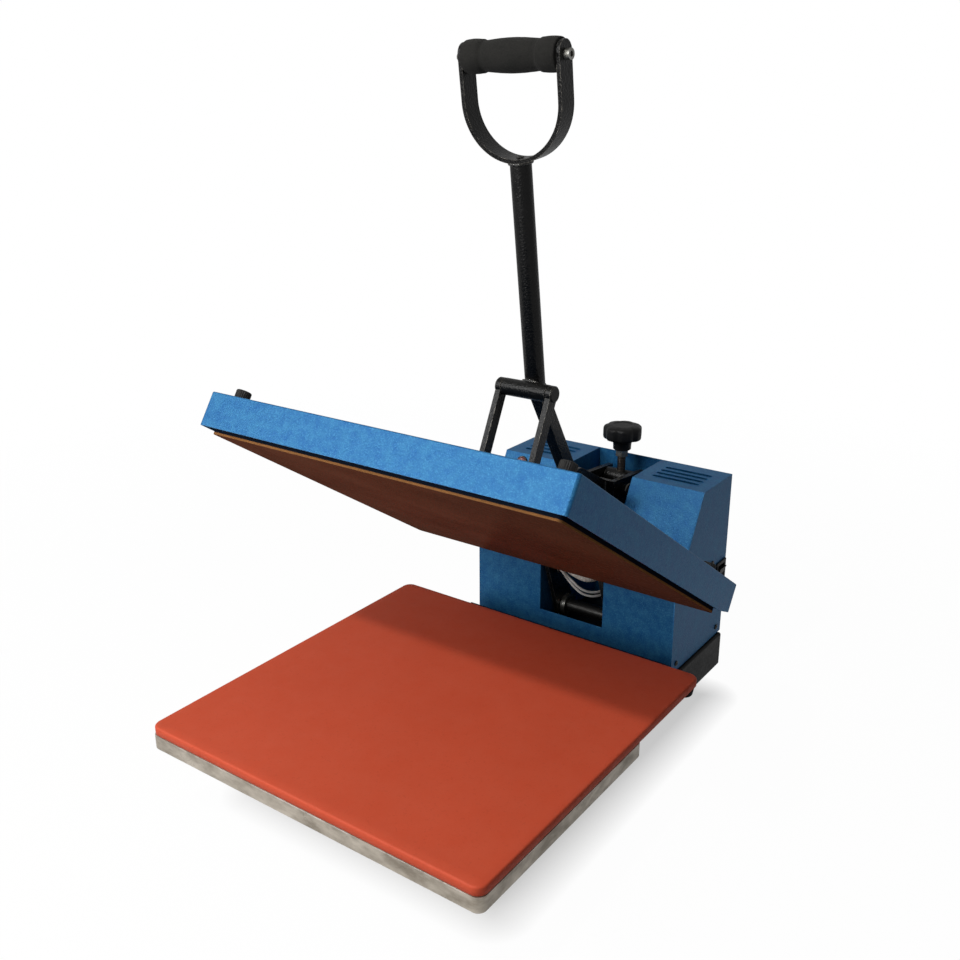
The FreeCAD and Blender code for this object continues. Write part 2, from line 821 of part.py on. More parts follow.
def make_insulation():
    inset = insulation_inset
    z0 = heater_top_z + flat_gap
    half = heater_half_width - inset
    mat = box(-half, half, heater_front_y + inset, heater_back_y - inset, z0, z0 + insulation_thickness)
    for side in (-1, 1):
        x0 = min(side * (arm_inner_x - 1), side * (arm_outer_x + 1))
        x1 = max(side * (arm_inner_x - 1), side * (arm_outer_x + 1))
        mat = mat.cut(box(x0, x1, arm_front_y - 1, heater_back_y, z0 - 1, z0 + insulation_thickness + 1))
    for x, y in cap_places():
        mat = mat.cut(cylinder_z(cap_screw_radius + 1, z0 - 1, z0 + insulation_thickness + 1, x, y))
    window_y = probe_y - 10
    return mat.cut(box(-22, 22, window_y, window_y + 48, z0 - 1, z0 + insulation_thickness + 1))


def make_temperature_probe():
    """A thermocouple block and a disc cut-out, both screwed to the top of the heating platen."""
    block = box(-16, -2, probe_y - 2, probe_y + 18, heater_top_z, heater_top_z + 7)
    block = block.fuse(cylinder_y(2.5, probe_y + 18, probe_y + 32, -9, heater_top_z + 3.5))
    disc = cylinder_z(8, heater_top_z, heater_top_z + 9, 11, probe_y + 8)
    tabs = box(5, 8, probe_y + 13, probe_y + 24, heater_top_z + 5, heater_top_z + 6)
    tabs = tabs.fuse(box(14, 17, probe_y + 13, probe_y + 24, heater_top_z + 5, heater_top_z + 6))
    return [block, disc.fuse(tabs)]


def arm_outline():
    top = cover_top_z - cover_sheet
    low = heater_top_z
    step_y = cover_back_y + 16
    eye_low = (hinge_y - 11, hinge_z - arm_eye_radius * 0.72)
    eye_high = (hinge_y + 10, hinge_z + arm_eye_radius * 0.78)
    outline = [(arm_front_y, low), (heater_back_y + 4, low), (step_y, low - 2), eye_low, eye_high]
    return outline + [(step_y + 22, top - 2), (cover_back_y - 4, top), (arm_front_y, top)]


def make_arm(side):
    bore = shaft_radius + bush_wall
    x0 = arm_inner_x
    x1 = arm_outer_x
    arm = profile_x(arm_outline(), x0, x1)
    arm = arm.fuse(cylinder_x(arm_eye_radius, x0, x1, *hinge))
    lug_root = cover_top_z - cover_sheet - 4
    half = 2 * lug_radius
    lug = [(link_foot_y - half, lug_root), (link_foot_y + half, lug_root)]
    near = lug_radius * 0.95
    lug += [(link_foot_y + near, link_foot_z + 3), (link_foot_y - near, link_foot_z + 3)]
    arm = arm.fuse(profile_x(lug, x0, x1))
    arm = arm.fuse(cylinder_x(lug_radius, x0, x1, link_foot_y, link_foot_z))
    arm = arm.fuse(cylinder_x(spring_stud_radius, spring_lane_x - 3, x0, spring_stud_y, spring_stud_z))
    arm = arm.removeSplitter()
    arm = arm.cut(cylinder_x(bore, x0 - 1, x1 + 1, *hinge))
    arm = arm.cut(cylinder_x(link_pin_radius, x0 - 1, x1 + 1, link_foot_y, link_foot_z))
    return swung_open(arm if side > 0 else mirrored(arm))


def make_arm_bushes():
    bush = cylinder_x(shaft_radius + bush_wall, arm_inner_x, arm_outer_x, *hinge)
    bush = bush.cut(cylinder_x(shaft_radius + running_gap, arm_inner_x - 1, arm_outer_x + 1, *hinge))
    return both_sides(bush)


def make_link_pins():
    """A headed pin through each arm's lug and its link."""
    y, z = link_foot_y, link_foot_z
    shank = cylinder_x(link_pin_radius, link_inner_x - 2.5, arm_outer_x, y, z)
    heads = [cylinder_x(link_pin_radius + 2.2, arm_outer_x, arm_outer_x + 3, y, z)]
    heads.append(cylinder_x(link_pin_radius + 2.2, link_inner_x - 3.0, link_inner_x - 0.5, y, z))
    return both_sides(shank.multiFuse(heads))


def gland_place():
    return cover_back_y, cover_bottom_z + gland_rise


def make_lead_gland():
    back, rise = gland_place()
    body = cylinder_y(gland_radius, back, back + gland_length, gland_x, rise)
    body = body.fuse(cylinder_y(gland_spigot_radius, back - 6, back, gland_x, rise))
    return swung_open(body)


# Links and lever, drawn open

def make_links():
    x0 = link_inner_x
    x1 = link_outer_x
    link = bar_between(link_foot, crank_end, link_width, x0, x1)
    for point in (link_foot, crank_end):
        link = link.fuse(cylinder_x(link_eye_radius, x0, x1, *point))
    link = link.removeSplitter()
    link = link.cut(cylinder_x(link_pin_radius + running_gap, x0 - 1, x1 + 1, *link_foot))
    link = link.cut(cylinder_x(link_pin_radius, x0 - 1, x1 + 1, *crank_end))
    return both_sides(link)


def make_link_bolts():
    """Short bolts at the links' upper eyes. They stop just clear of the cross tube."""
    bolt = cylinder_x(link_pin_radius, link_inner_x, link_outer_x, *crank_end)
    face = link_outer_x + link_bolt_head
    head = cylinder_x(link_eye_radius - 0.8, link_outer_x, face, *crank_end)
    head = rounded_rims(head, 0.8, face)
    return both_sides(bolt.fuse(head))


def make_cross_tube():
    half = cross_tube_half_length
    tube = cylinder_x(cross_tube_radius, -half, half, *crank_end)
    return tube.cut(cylinder_x(cross_tube_bore, -half - 1, half + 1, *crank_end))


def lever_arm_blank():
    half = lever_arm_thickness / 2
    arm = bar_between(lever_pivot, shaft_foot, lever_arm_width, -half, half)
    arm = arm.fuse(cylinder_x(lever_eye_radius, -half, half, *lever_pivot))
    arm = arm.fuse(cylinder_x(lever_arm_width / 2, -half, half, *shaft_foot))
    return arm.removeSplitter()


def make_lever_arm():
    half = lever_arm_thickness / 2 + 1
    arm = lever_arm_blank().cut(cylinder_x(lever_pin_radius + running_gap, -half, half, *lever_pivot))
    return arm.cut(cylinder_x(cross_tube_radius, -half, half, *crank_end))


def strap_disc(half_width, thickness):
    """The D's outline as one plate: a half round below and straight sides up past the grip."""
    bottom = lever_shaft_length
    centre = bottom + strap_half_width
    top = grip_height + strap_end_rise + strap_width / 2
    plate = box(-half_width, half_width, -thickness / 2, thickness / 2, centre, top)
    return plate.fuse(Part.makeCylinder(half_width, thickness, vec(0, -thickness / 2, centre), vec(0, 1, 0)))


def make_lever_shaft():
    tube = cylinder_z(lever_shaft_radius, 1, lever_shaft_length + 4, 0, 0)
    tube = tube.cut(strap_disc(strap_half_width, 4 * lever_shaft_radius))
    tube = tube.cut(cylinder_z(lever_shaft_radius - lever_shaft_wall, 0, lever_shaft_length + 5, 0, 0))
    tube = on_lever(tube)
    tube = tube.cut(cylinder_x(cross_tube_radius, -30, 30, *crank_end))
    tube = tube.cut(lever_arm_blank())
    return max(tube.Solids, key=lambda solid: solid.Volume)


def make_handle_strap():
    strap = strap_disc(strap_half_width, strap_width)
    strap = strap.cut(strap_disc(strap_half_width - strap_thickness, strap_width + 2))
    reach = strap_half_width + 1
    end_z = grip_height + strap_end_rise
    ends = cylinder_x(strap_width / 2, -reach, reach, 0, end_z)
    keep = box(-reach, reach, -strap_width, strap_width, 0, end_z)
    strap = strap.common(keep.fuse(ends))
    strap = strap.cut(cylinder_x(grip_bolt_radius, -reach, reach, 0, grip_height))
    bore = strap_screw_radius + fit_gap
    strap = strap.cut(cylinder_z(bore, lever_shaft_length - 2, lever_shaft_length + 8, 0, 0))
    return on_lever(strap)


def make_foam_grip():
    """Turned profile: a raised collar at each end, a neck, and a belly in the middle."""
    half = strap_half_width - strap_thickness - panel_gap
    collar = half - grip_collar_length
    crown = half - grip_collar_length / 2
    inner = grip_bolt_radius
    rim = grip_end_radius - 1.6
    shoulder = grip_end_radius - 1.2
    neck = collar - 2
    steps = [((-half, inner), (-half, rim)),
             ((-half, rim), (-crown, grip_end_radius), (-collar, shoulder)),
             ((-collar, shoulder), (-neck, grip_neck_radius)),
             ((-neck, grip_neck_radius), (0, grip_belly_radius), (neck, grip_neck_radius)),
             ((neck, grip_neck_radius), (collar, shoulder)),
             ((collar, shoulder), (crown, grip_end_radius), (half, rim)),
             ((half, rim), (half, inner)),
             ((half, inner), (-half, inner))]
    edges = []
    for step in steps:
        points = [vec(x, 0, z) for x, z in step]
        if len(points) == 2:
            edges.append(Part.makeLine(*points))
        else:
            edges.append(Part.Arc(*points).toShape())
    grip = Part.Face(Part.Wire(edges)).revolve(vec(0, 0, 0), vec(1, 0, 0), 360)
    grip.translate(vec(0, 0, grip_height))
    return on_lever(grip)


def make_grip_bolt():
    """A cap screw from the right, with a hexagon socket in its tall head."""
    x = strap_half_width
    face = x + grip_head_height
    rod = cylinder_x(grip_bolt_radius - fit_gap, -x - grip_nut_height, x, 0, grip_height)
    head = rounded_rims(cylinder_x(grip_head_radius, x, face, 0, grip_height), 0.6, face)
    socket = hex_along_x(grip_socket_radius, face - grip_socket_depth, face + 1)
    return on_lever(rod.fuse(head).cut(socket))


def make_grip_nut():
    """A domed nut on the left end of the grip bolt."""
    x = -strap_half_width
    face = x - grip_nut_height
    dome = Part.makeSphere(grip_nut_radius - 1, vec(face, 0, grip_height))
    dome = dome.common(box(face - 30, face, -20, 20, grip_height - 20, grip_height + 20))
    nut = hex_along_x(grip_nut_radius, face, x).fuse(dome)
    return on_lever(nut.cut(cylinder_x(grip_bolt_radius - fit_gap, face, x + 1, 0, grip_height)))


def hex_along_x(corner_radius, x0, x1):
    prism = hex_prism(corner_radius, x1 - x0)
    prism.rotate(vec(0, 0, 0), vec(0, 1, 0), 90)
    prism.translate(vec(x0, 0, grip_height))
    return prism


def hex_prism(corner_radius, height):
    turns = [math.radians(60 * k) for k in range(6)]
    points = [vec(corner_radius * math.cos(turn), corner_radius * math.sin(turn), 0) for turn in turns]
    return Part.Face(Part.makePolygon(points + points[:1])).extrude(vec(0, 0, height))


def make_strap_screw():
    """The screw in the bottom of the D, into the plug that closes the shaft."""
    inner = strap_half_width - strap_thickness
    rise = inner - math.sqrt(inner ** 2 - strap_head_radius ** 2) + running_gap
    seat = lever_shaft_length + strap_thickness + rise
    head = Part.makeCone(strap_head_radius, strap_head_radius - 0.8, 1.5, vec(0, 0, seat))
    shank = cylinder_z(strap_screw_radius, lever_shaft_length - 6, seat, 0, 0)
    return on_lever(head.fuse(shank))


# Pressure adjuster

def make_yoke():
    x0 = yoke_inner_x
    x1 = yoke_inner_x + yoke_plate
    rise = yoke_pivot_z
    side = [(yoke_front_y, rise - 24), (yoke_pivot_y + 12, rise - 16), (screw_y + 13, rise - 12)]
    side += [(screw_y + 13, rise + 10), (yoke_pivot_y + 18, rise + 13), (yoke_front_y, rise + 17)]
    plate = profile_x(side, x0, x1)
    plate = plate.cut(cylinder_x(yoke_pin_radius, x0 - 1, x1 + 1, yoke_pivot_y, yoke_pivot_z))
    plate = plate.cut(cylinder_x(trunnion_stub_radius + running_gap, x0 - 1, x1 + 1, screw_y, yoke_pivot_z))
    front = box(-x0, x0, yoke_front_y, yoke_front_y + yoke_cross_plate, rise - 24, rise + 17)
    ear_x0 = yoke_ear_inner_x
    ear_x1 = ear_x0 + yoke_ear_thickness
    nose = lever_eye_radius + 1
    ear = [(yoke_front_y, rise - 20), (yoke_front_y, rise + 17)]
    ear.append((lever_pivot_y + 6, lever_pivot_z + nose * 0.9))
    ear.append((lever_pivot_y - nose * 0.8, lever_pivot_z - nose * 0.6))
    ear = profile_x(ear, ear_x0, ear_x1).fuse(cylinder_x(nose, ear_x0, ear_x1, *lever_pivot))
    ear = ear.cut(cylinder_x(lever_pin_radius, ear_x0 - 1, ear_x1 + 1, *lever_pivot))
    return front.multiFuse(both_sides(plate) + both_sides(ear)).removeSplitter()


def make_yoke_pins():
    """The yoke's own pivot pin, and the pin that carries the lever in the yoke's front ears."""
    half = upright_outer_x + 1.5
    long_pin = cylinder_x(yoke_pin_radius, -half, half, yoke_pivot_y, yoke_pivot_z)
    reach = yoke_ear_inner_x + yoke_ear_thickness
    short_pin = cylinder_x(lever_pin_radius, -reach, reach, *lever_pivot)
    for x0 in (-reach - 2.5, reach):
        short_pin = short_pin.fuse(cylinder_x(lever_pin_radius + 3, x0, x0 + 2.5, *lever_pivot))
    return [long_pin, short_pin]


def make_trunnion():
    half = yoke_inner_x - flat_gap
    body = cylinder_x(trunnion_radius, -half, half, screw_y, yoke_pivot_z)
    reach = yoke_inner_x + yoke_plate
    body = body.fuse(cylinder_x(trunnion_stub_radius, -reach, reach, screw_y, yoke_pivot_z))
    hole = cylinder_z(screw_rod_radius + 2 * running_gap, yoke_pivot_z - 20, yoke_pivot_z + 20, 0, screw_y)
    return body.removeSplitter().cut(hole)


def make_pressure_screw():
    top = knob_head_z + 4
    seat = thrust_bracket_top_z + flat_gap
    tail = thrust_bracket_z - flat_gap
    rod = cylinder_z(screw_rod_radius, tail - 5, top, 0, screw_y)
    shoulder = cylinder_z(screw_shoulder_radius, seat, seat + screw_shoulder_height, 0, screw_y)
    head = cylinder_z(screw_shoulder_radius - 1, tail - 5, tail, 0, screw_y)
    return rod.multiFuse([shoulder, head])


def make_jam_nut():
    nut = hex_prism(jam_nut_across_flats / math.sqrt(3), jam_nut_height)
    nut.translate(vec(0, screw_y, jam_nut_z))
    return nut.cut(cylinder_z(screw_rod_radius, jam_nut_z - 1, jam_nut_z + jam_nut_height + 1, 0, screw_y))


def make_knob():
    hub_z = jam_nut_z + jam_nut_height
    head = cylinder_z(knob_radius, knob_head_z, knob_head_z + knob_head_height, 0, screw_y)
    for index in range(knob_lobes):
        angle = 2 * math.pi * (index + 0.5) / knob_lobes
        x = (knob_radius + knob_scallop * 0.55) * math.cos(angle)
        y = screw_y + (knob_radius + knob_scallop * 0.55) * math.sin(angle)
        head = head.cut(cylinder_z(knob_scallop, knob_head_z - 1, knob_head_z + knob_head_height + 1, x, y))
    dome_z = knob_head_z + knob_head_height - knob_dome_radius + 0.5
    dome = Part.makeSphere(knob_dome_radius, vec(0, screw_y, dome_z))
    head = head.common(dome)
    hub = Part.makeCone(hub_radius - 1, hub_radius, knob_head_z - hub_z, vec(0, screw_y, hub_z))
    knob = head.fuse(hub)
    return knob.cut(cylinder_z(screw_rod_radius, hub_z - 1, knob_head_z + 4, 0, screw_y))


# Springs

def biarc(points_and_tangents):
    """Joins points with given tangents by pairs of arcs that meet smoothly."""
    edges = []
    for (p0, t0), (p1, t1) in zip(points_and_tangents, points_and_tangents[1:]):
        gap = p1 - p0
        both = t0 + t1
        bend = 2 * (1 - t0.dot(t1))
        if bend < 1e-9:
            reach = gap.dot(gap) / (4 * gap.dot(t1))
        else:
            reach = (-gap.dot(both) + math.sqrt(gap.dot(both) ** 2 + bend * gap.dot(gap))) / bend
        knee0 = p0 + t0 * reach
        knee1 = p1 - t1 * reach
        joint = (knee0 + knee1) * 0.5
        edges.append(arc_by_knee(p0, knee0, joint))
        edges.append(arc_by_knee(joint, knee1, p1))
    return edges


def arc_by_knee(start, knee, end):
    middle = (start + end) * 0.5
    lift = knee - middle
    half = (end - start).Length / 2
    if lift.Length < 1e-6 * half:
        return Part.makeLine(start, end)
    rise = half * math.tan(math.atan2(lift.Length, half) / 2)
    return Part.Arc(start, middle + lift * (rise / lift.Length), end).toShape()


def spring_ends():
    low = open_point(spring_stud_y, spring_stud_z)
    return low, (yoke_pivot_y, yoke_pivot_z)


def spring_nodes():
    """Points and tangents of one spring: lower ring, coil, upper ring."""
    low, high = spring_ends()
    span = math.hypot(high[0] - low[0], high[1] - low[1])
    along = vec(0, (high[0] - low[0]) / span, (high[1] - low[1]) / span)
    across = vec(0, -along.z, along.y)
    aside = vec(1, 0, 0)
    low_ring = spring_stud_radius + spring_wire_radius + 0.4
    high_ring = yoke_pin_radius + spring_wire_radius + 0.4
    origin = vec(spring_lane_x, low[0], low[1])
    coil_length = spring_coil_pitch * spring_coil_count
    coil_start = (span - coil_length) / 2 + 0.5

    def place(a, b, c):
        return origin + along * a + across * b + aside * c

    def turn(a, b, c):
        direction = along * a + across * b + aside * c
        return direction * (1 / direction.Length)

    nodes = []
    for degrees in (75, 150, 225, 300):
        angle = math.radians(degrees)
        nodes.append((place(low_ring * math.cos(angle), low_ring * math.sin(angle), 0),
                      turn(-math.sin(angle), math.cos(angle), 0)))
    climb = spring_coil_pitch / (2 * math.pi * spring_coil_radius)
    quarters = 4 * spring_coil_count
    for quarter in range(quarters + 1):
        angle = math.pi / 2 * quarter
        nodes.append((place(coil_start + spring_coil_pitch * quarter / 4,
                            spring_coil_radius * math.cos(angle), spring_coil_radius * math.sin(angle)),
                      turn(climb, -math.sin(angle), math.cos(angle))))
    for degrees in (240, 315, 390, 465):
        angle = math.radians(degrees)
        nodes.append((place(span + high_ring * math.cos(angle), high_ring * math.sin(angle), 0),
                      turn(-math.sin(angle), math.cos(angle), 0)))
    return nodes


def make_springs():
    path = Part.Wire(biarc(spring_nodes()))
    spring = sweep_round(path, spring_wire_radius)
    print("spring: wire gap between turns", round(spring_coil_pitch - 2 * spring_wire_radius, 2),
          "volume ratio", round(spring.Volume / (math.pi * spring_wire_radius ** 2 * path.Length), 4))
    return both_sides(spring)


# Heater leads

def routed_tube(points, radius):
    """A tube along straight runs joined by the largest arcs the runs allow."""
    edges = []
    last = points[0]
    radii = []
    for before, corner, after in zip(points, points[1:], points[2:]):
        into = corner - before
        out = after - corner
        run = min(into.Length, out.Length)
        into.normalize()
        out.normalize()
        turn = math.acos(max(-1.0, min(1.0, into.dot(out))))
        setback = 0.45 * run
        start = corner - into * setback
        end = corner + out * setback
        radii.append(round(setback / math.tan(turn / 2), 1))
        if (start - last).Length > 1e-6:
            edges.append(Part.makeLine(last, start))
        edges.append(arc_by_knee(start, corner, end))
        last = end
    edges.append(Part.makeLine(last, points[-1]))
    path = Part.Wire(edges)
    tube = sweep_round(path, radius)
    print("lead: bend radii", radii, "length", round(path.Length, 1),
          "volume ratio", round(tube.Volume / (math.pi * radius ** 2 * path.Length), 4))
    return tube


def gland_mouth(offset_x, offset_rise):
    back, rise = gland_place()
    y, z = open_point(back + gland_length, rise + offset_rise)
    return vec(gland_x + offset_x, y, z)


def leads_direction():
    angle = math.radians(open_angle)
    return vec(0, math.cos(angle), -math.sin(angle))


def make_heater_sleeve():
    """The fat braided sleeve: down out of the gland, across, and back behind the right arm."""
    start = gland_mouth(0, 0)
    points = [start, start + leads_direction() * 12, vec(-8, 265, 36), vec(10, 267, 30), vec(18, 281, 29)]
    points += [vec(24, 303, 34), vec(upright_outer_x + 3, sleeve_exit_y, sleeve_exit_z)]
    return routed_tube(points, sleeve_radius)


def make_sensor_leads():
    """Two thin leads that hang in a slack loop under the sleeve and go into the right tower."""
    leads = []
    for index in range(2):
        side = 2 * index - 1
        rim = math.sqrt(lead_start_radius ** 2 - lead_spread ** 2)
        start = gland_mouth(-side * lead_spread, -rim)
        rise = index * leads_pitch
        points = [start, start + leads_direction() * 8, vec(-8, 262, 22 + rise), vec(6, 267, 8 + rise)]
        points += [vec(18, 280, 3 + rise), vec(25, 303, 5 + rise)]
        points.append(vec(upright_outer_x + 3, leads_exit_y, leads_exit_z + rise))
        leads.append(routed_tube(points, lead_radius))
    return leads


def cut_lead_holes(plate, x0, x1):
    """Holes for the sleeve and the sensor leads, through the right-hand channel sides."""
    room = 1.6
    plate = plate.cut(cylinder_x(sleeve_radius + room, x0 - 1, x1 + 1, sleeve_exit_y, sleeve_exit_z))
    middle_z = leads_exit_z + leads_pitch / 2
    return plate.cut(cylinder_x(leads_pitch / 2 + lead_radius + room, x0 - 1, x1 + 1, leads_exit_y, middle_z))


# Controls

def make_controller_case():
    """Bezel and body in one moulding, set in the left tower's slanted front."""
    half_x = controller_width / 2
    half_y = controller_height / 2
    bezel = round_upright_edges(box(-half_x, half_x, -half_y, half_y, 0, controller_proud), controller_corner)
    bezel = rounded_edges(bezel, 1.2, lambda c: abs(c.z - controller_proud) < 0.01)
    inset = 3.0
    body = box(-half_x + inset, half_x - inset, -half_y + inset, half_y - inset, -controller_depth, 0)
    case = bezel.fuse(body)
    case = case.cut(display_block(controller_proud + 1))
    for x in button_places():
        case = case.cut(button_block(x, button_clearance, button_well_floor, controller_proud + 1))
    return on_slope(case, -tower_middle_x, controller_down)


def display_block(z1):
    half_x = display_width / 2
    half_y = display_height / 2
    return box(-half_x, half_x, display_up - half_y, display_up + half_y, controller_proud - 1.6, z1)


def button_block(x, grow, z0, z1):
    half_x = button_width / 2 + grow
    half_y = button_height / 2 + grow
    return box(x - half_x, x + half_x, -button_down - half_y, -button_down + half_y, z0, z1)


def button_places():
    return [(index - 1) * button_pitch for index in range(3)]


def make_display():
    return on_slope(display_block(controller_proud - 0.5), -tower_middle_x, controller_down)


def make_button(index):
    floor = button_well_floor + button_travel + button_clearance
    top = controller_proud + button_proud
    cap = button_block(button_places()[index], 0, floor, top)
    cap = round_upright_edges(cap, 1.5)
    cap = rounded_edges(cap, 0.6, lambda c: abs(c.z - top) < 0.01)
    return on_slope(cap, -tower_middle_x, controller_down)


def make_pilot_lamp():
    ring = cylinder_z(lamp_radius, 0, 1.8, 0, 0)
    lens = Part.makeSphere(lamp_radius * 1.1, vec(0, 0, 4.2 - lamp_radius * 1.1))
    lens = lens.common(cylinder_z(lamp_radius - 1.4, 1.8, 5, 0, 0))
    barrel = cylinder_z(lamp_radius - 1.6, -20, 0, 0, 0)
    return on_slope(ring.multiFuse([lens, barrel]), lamp_x, lamp_down)


def make_switch_frame():
    x = housing_half_width
    half_y = switch_width / 2
    half_z = switch_height / 2

    def block(x0, x1, grow):
        return box(x0, x1, switch_y - half_y - grow, switch_y + half_y + grow,
                   switch_z - half_z - grow, switch_z + half_z + grow)

    frame = block(x, x + 2, switch_rim).fuse(block(x - 22, x, 0)).cut(block(x - 12, x + 3, -switch_wall))
    pin = rocker_pin_radius + running_gap
    reach = half_y - 1
    return frame.cut(cylinder_y(pin, switch_y - reach, switch_y + reach, x - rocker_pivot_depth, switch_z))


def make_rocker():
    """A rocker with its lower half pressed in, which is its off position."""
    tilt = math.radians(rocker_tilt)
    room = switch_height / 2 - switch_wall - rocker_clearance
    half_z = (room - rocker_face * math.sin(tilt)) / math.cos(tilt)
    half_y = switch_width / 2 - switch_wall - rocker_clearance
    outline = [(-5, -4), (rocker_face, -half_z), (rocker_face - 2, 0), (rocker_face, half_z), (-5, 4)]
    loop = [vec(dx, -half_y, dz) for dx, dz in outline]
    rocker = Part.Face(Part.makePolygon(loop + loop[:1])).extrude(vec(0, 2 * half_y, 0))
    pin = half_y + switch_wall / 2
    rocker = rocker.fuse(cylinder_y(rocker_pin_radius, -pin, pin, 0, 0))
    rocker.rotate(vec(0, 0, 0), vec(0, 1, 0), rocker_tilt)
    rocker.translate(vec(housing_half_width - rocker_pivot_depth, switch_y, switch_z))
    return rocker


def make_mains_inlet():
    """A three-pin inlet socket in the back panel, its face level with the panel."""
    back = housing_back_y
    body = inlet_box(0, back - 24, back)
    cavity = inlet_box(-2.6, back - 16, back + 1)
    socket = body.cut(cavity)
    for x, z in ((inlet_x - 7, inlet_z - 2), (inlet_x + 7, inlet_z - 2), (inlet_x, inlet_z + 2)):
        socket = socket.fuse(box(x - 1, x + 1, back - 17, back - 5, z - 2, z + 2))
    return socket


def make_relay():
    """The relay on its finned heat sink, on the base plate in the right tower."""
    z = base_plate_top_z
    base = sink_x + sink_fins * sink_fin_pitch
    points = [(sink_x, z), (base, z), (base, z + sink_base)]
    for index in reversed(range(sink_fins)):
        left = sink_x + index * sink_fin_pitch
        right = left + sink_fin_pitch / 2
        points += [(right, z + sink_base), (right, z + sink_height), (left, z + sink_height)]
        points.append((left, z + sink_base) if index else (left, z))
    loop = [vec(x, sink_front_y, height) for x, height in points[:-1]]
    sink = Part.Face(Part.makePolygon(loop + loop[:1])).extrude(vec(0, sink_length, 0))
    inset = 3.0
    top = z + sink_height
    relay = box(sink_x + inset, base - inset - sink_fin_pitch / 2, sink_front_y + inset,
                sink_front_y + sink_length - inset, top, top + relay_height)
    return [sink, relay]


def build():
    os.makedirs("parts", exist_ok=True)
    save("silicone_pad", make_silicone_pad())
    save("lower_platen", make_lower_platen())
    save("frame_cross_tubes", make_plate_cross_tubes() + make_carrier_tubes())
    save("carrier_plate", make_carrier_plate())
    save("front_stop_bar", make_stop_bar())
    save("plate_bolts", make_plate_bolts())
    save("left_rail", make_rail(-1))
    save("right_rail", make_rail(1))
    save("rubber_feet", make_feet())
    save("base_plate", make_base_plate())
    save("hinge_uprights", [make_upright(-1), make_upright(1)])
    save("hinge_shaft", make_hinge_shaft())
    save("shaft_collars", make_shaft_collars())
    save("thrust_bracket", make_thrust_bracket())
    save("front_apron", make_front_apron())
    save("left_tower_cover", make_tower_cover(-1))
    save("right_tower_cover", make_tower_cover(1))
    save("left_side_panel", make_side_panel(-1))
    save("right_side_panel", make_side_panel(1))
    save("channel_walls", [make_inner_wall(-1), make_inner_wall(1)])
    save("rear_panel", make_rear_panel())
    save("panel_screws", make_panel_screws())
    save("controller_case", make_controller_case())
    save("controller_display", make_display())
    for index, name in enumerate(("set_button", "down_button", "up_button")):
        save(name, make_button(index))
    save("pilot_lamp", make_pilot_lamp())
    save("switch_frame", make_switch_frame())
    save("power_rocker", make_rocker())
    save("mains_inlet", make_mains_inlet())
    save("relay_on_heat_sink", make_relay())
    save("platen_cover", swung_open(make_cover()))
    save("cover_cap_screws", [swung_open(cap) for cap in make_cover_caps()])
    save("heating_platen", swung_open(make_heating_platen()))
    save("heating_element", swung_open(make_heating_element()))
    save("insulation_mat", swung_open(make_insulation()))
    save("temperature_probe", [swung_open(piece) for piece in make_temperature_probe()])
    save("platen_arms", [make_arm(-1), make_arm(1)])
    save("arm_bushes", make_arm_bushes())
    save("link_pins", [swung_open(pin) for pin in make_link_pins()])
    save("lead_gland", make_lead_gland())
    save("heater_sleeve", make_heater_sleeve())
    save("sensor_leads", make_sensor_leads())
    save("return_springs", make_springs())
    save("toggle_links", make_links())
    save("link_bolts", make_link_bolts())
    save("cross_tube", make_cross_tube())
    save("lever_arm", make_lever_arm())
    save("lever_shaft", make_lever_shaft())
    save("handle_strap", make_handle_strap())
    save("foam_grip", make_foam_grip())
    save("handle_fasteners", [make_grip_bolt(), make_grip_nut(), make_strap_screw()])
    save("adjuster_yoke", make_yoke())
    save("yoke_pins", make_yoke_pins())
    save("trunnion", make_trunnion())
    save("pressure_screw", make_pressure_screw())
    save("jam_nut", make_jam_nut())
    save("pressure_knob", make_knob())


build()
closed_crank = math.degrees(math.atan2(link_foot_z - lever_pivot_z, link_foot_y - lever_pivot_y)) % 360
open_crank = math.degrees(math.atan2(crank_end[1] - lever_pivot_z, crank_end[0] - lever_pivot_y)) % 360
open_link = math.degrees(math.atan2(crank_end[1] - link_foot[1], crank_end[0] - link_foot[0]))
closed_link = math.degrees(math.atan2(lever_pivot_z - link_foot_z, lever_pivot_y - link_foot_y))
print("lever turns", round(closed_crank - open_crank, 3), "links turn on the platen",
      round(closed_link - open_link - open_angle, 3))
print("crank end", [round(v, 3) for v in crank_end], "link foot", [round(v, 3) for v in link_foot])
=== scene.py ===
import json
from math import cos, hypot, pi, radians, sin, sqrt

import bmesh
import bpy
from mathutils import Matrix, Vector, noise


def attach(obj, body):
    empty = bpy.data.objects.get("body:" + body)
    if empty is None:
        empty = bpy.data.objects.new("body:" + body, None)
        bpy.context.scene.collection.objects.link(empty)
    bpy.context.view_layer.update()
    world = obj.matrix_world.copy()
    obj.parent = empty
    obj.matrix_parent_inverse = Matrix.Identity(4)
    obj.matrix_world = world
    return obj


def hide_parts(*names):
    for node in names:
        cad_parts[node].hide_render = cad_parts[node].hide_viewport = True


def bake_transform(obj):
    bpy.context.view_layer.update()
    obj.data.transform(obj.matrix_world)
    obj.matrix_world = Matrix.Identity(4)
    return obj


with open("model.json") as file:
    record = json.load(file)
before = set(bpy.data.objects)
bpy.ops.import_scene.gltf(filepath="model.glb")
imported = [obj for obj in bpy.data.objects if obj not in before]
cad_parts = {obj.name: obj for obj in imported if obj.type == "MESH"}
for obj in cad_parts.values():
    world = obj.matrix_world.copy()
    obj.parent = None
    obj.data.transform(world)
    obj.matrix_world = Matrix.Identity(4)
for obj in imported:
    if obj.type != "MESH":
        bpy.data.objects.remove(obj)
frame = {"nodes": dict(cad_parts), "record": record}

nodes = frame["nodes"]
scene = bpy.context.scene
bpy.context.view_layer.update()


# where things are: drawing millimetres to scene metres

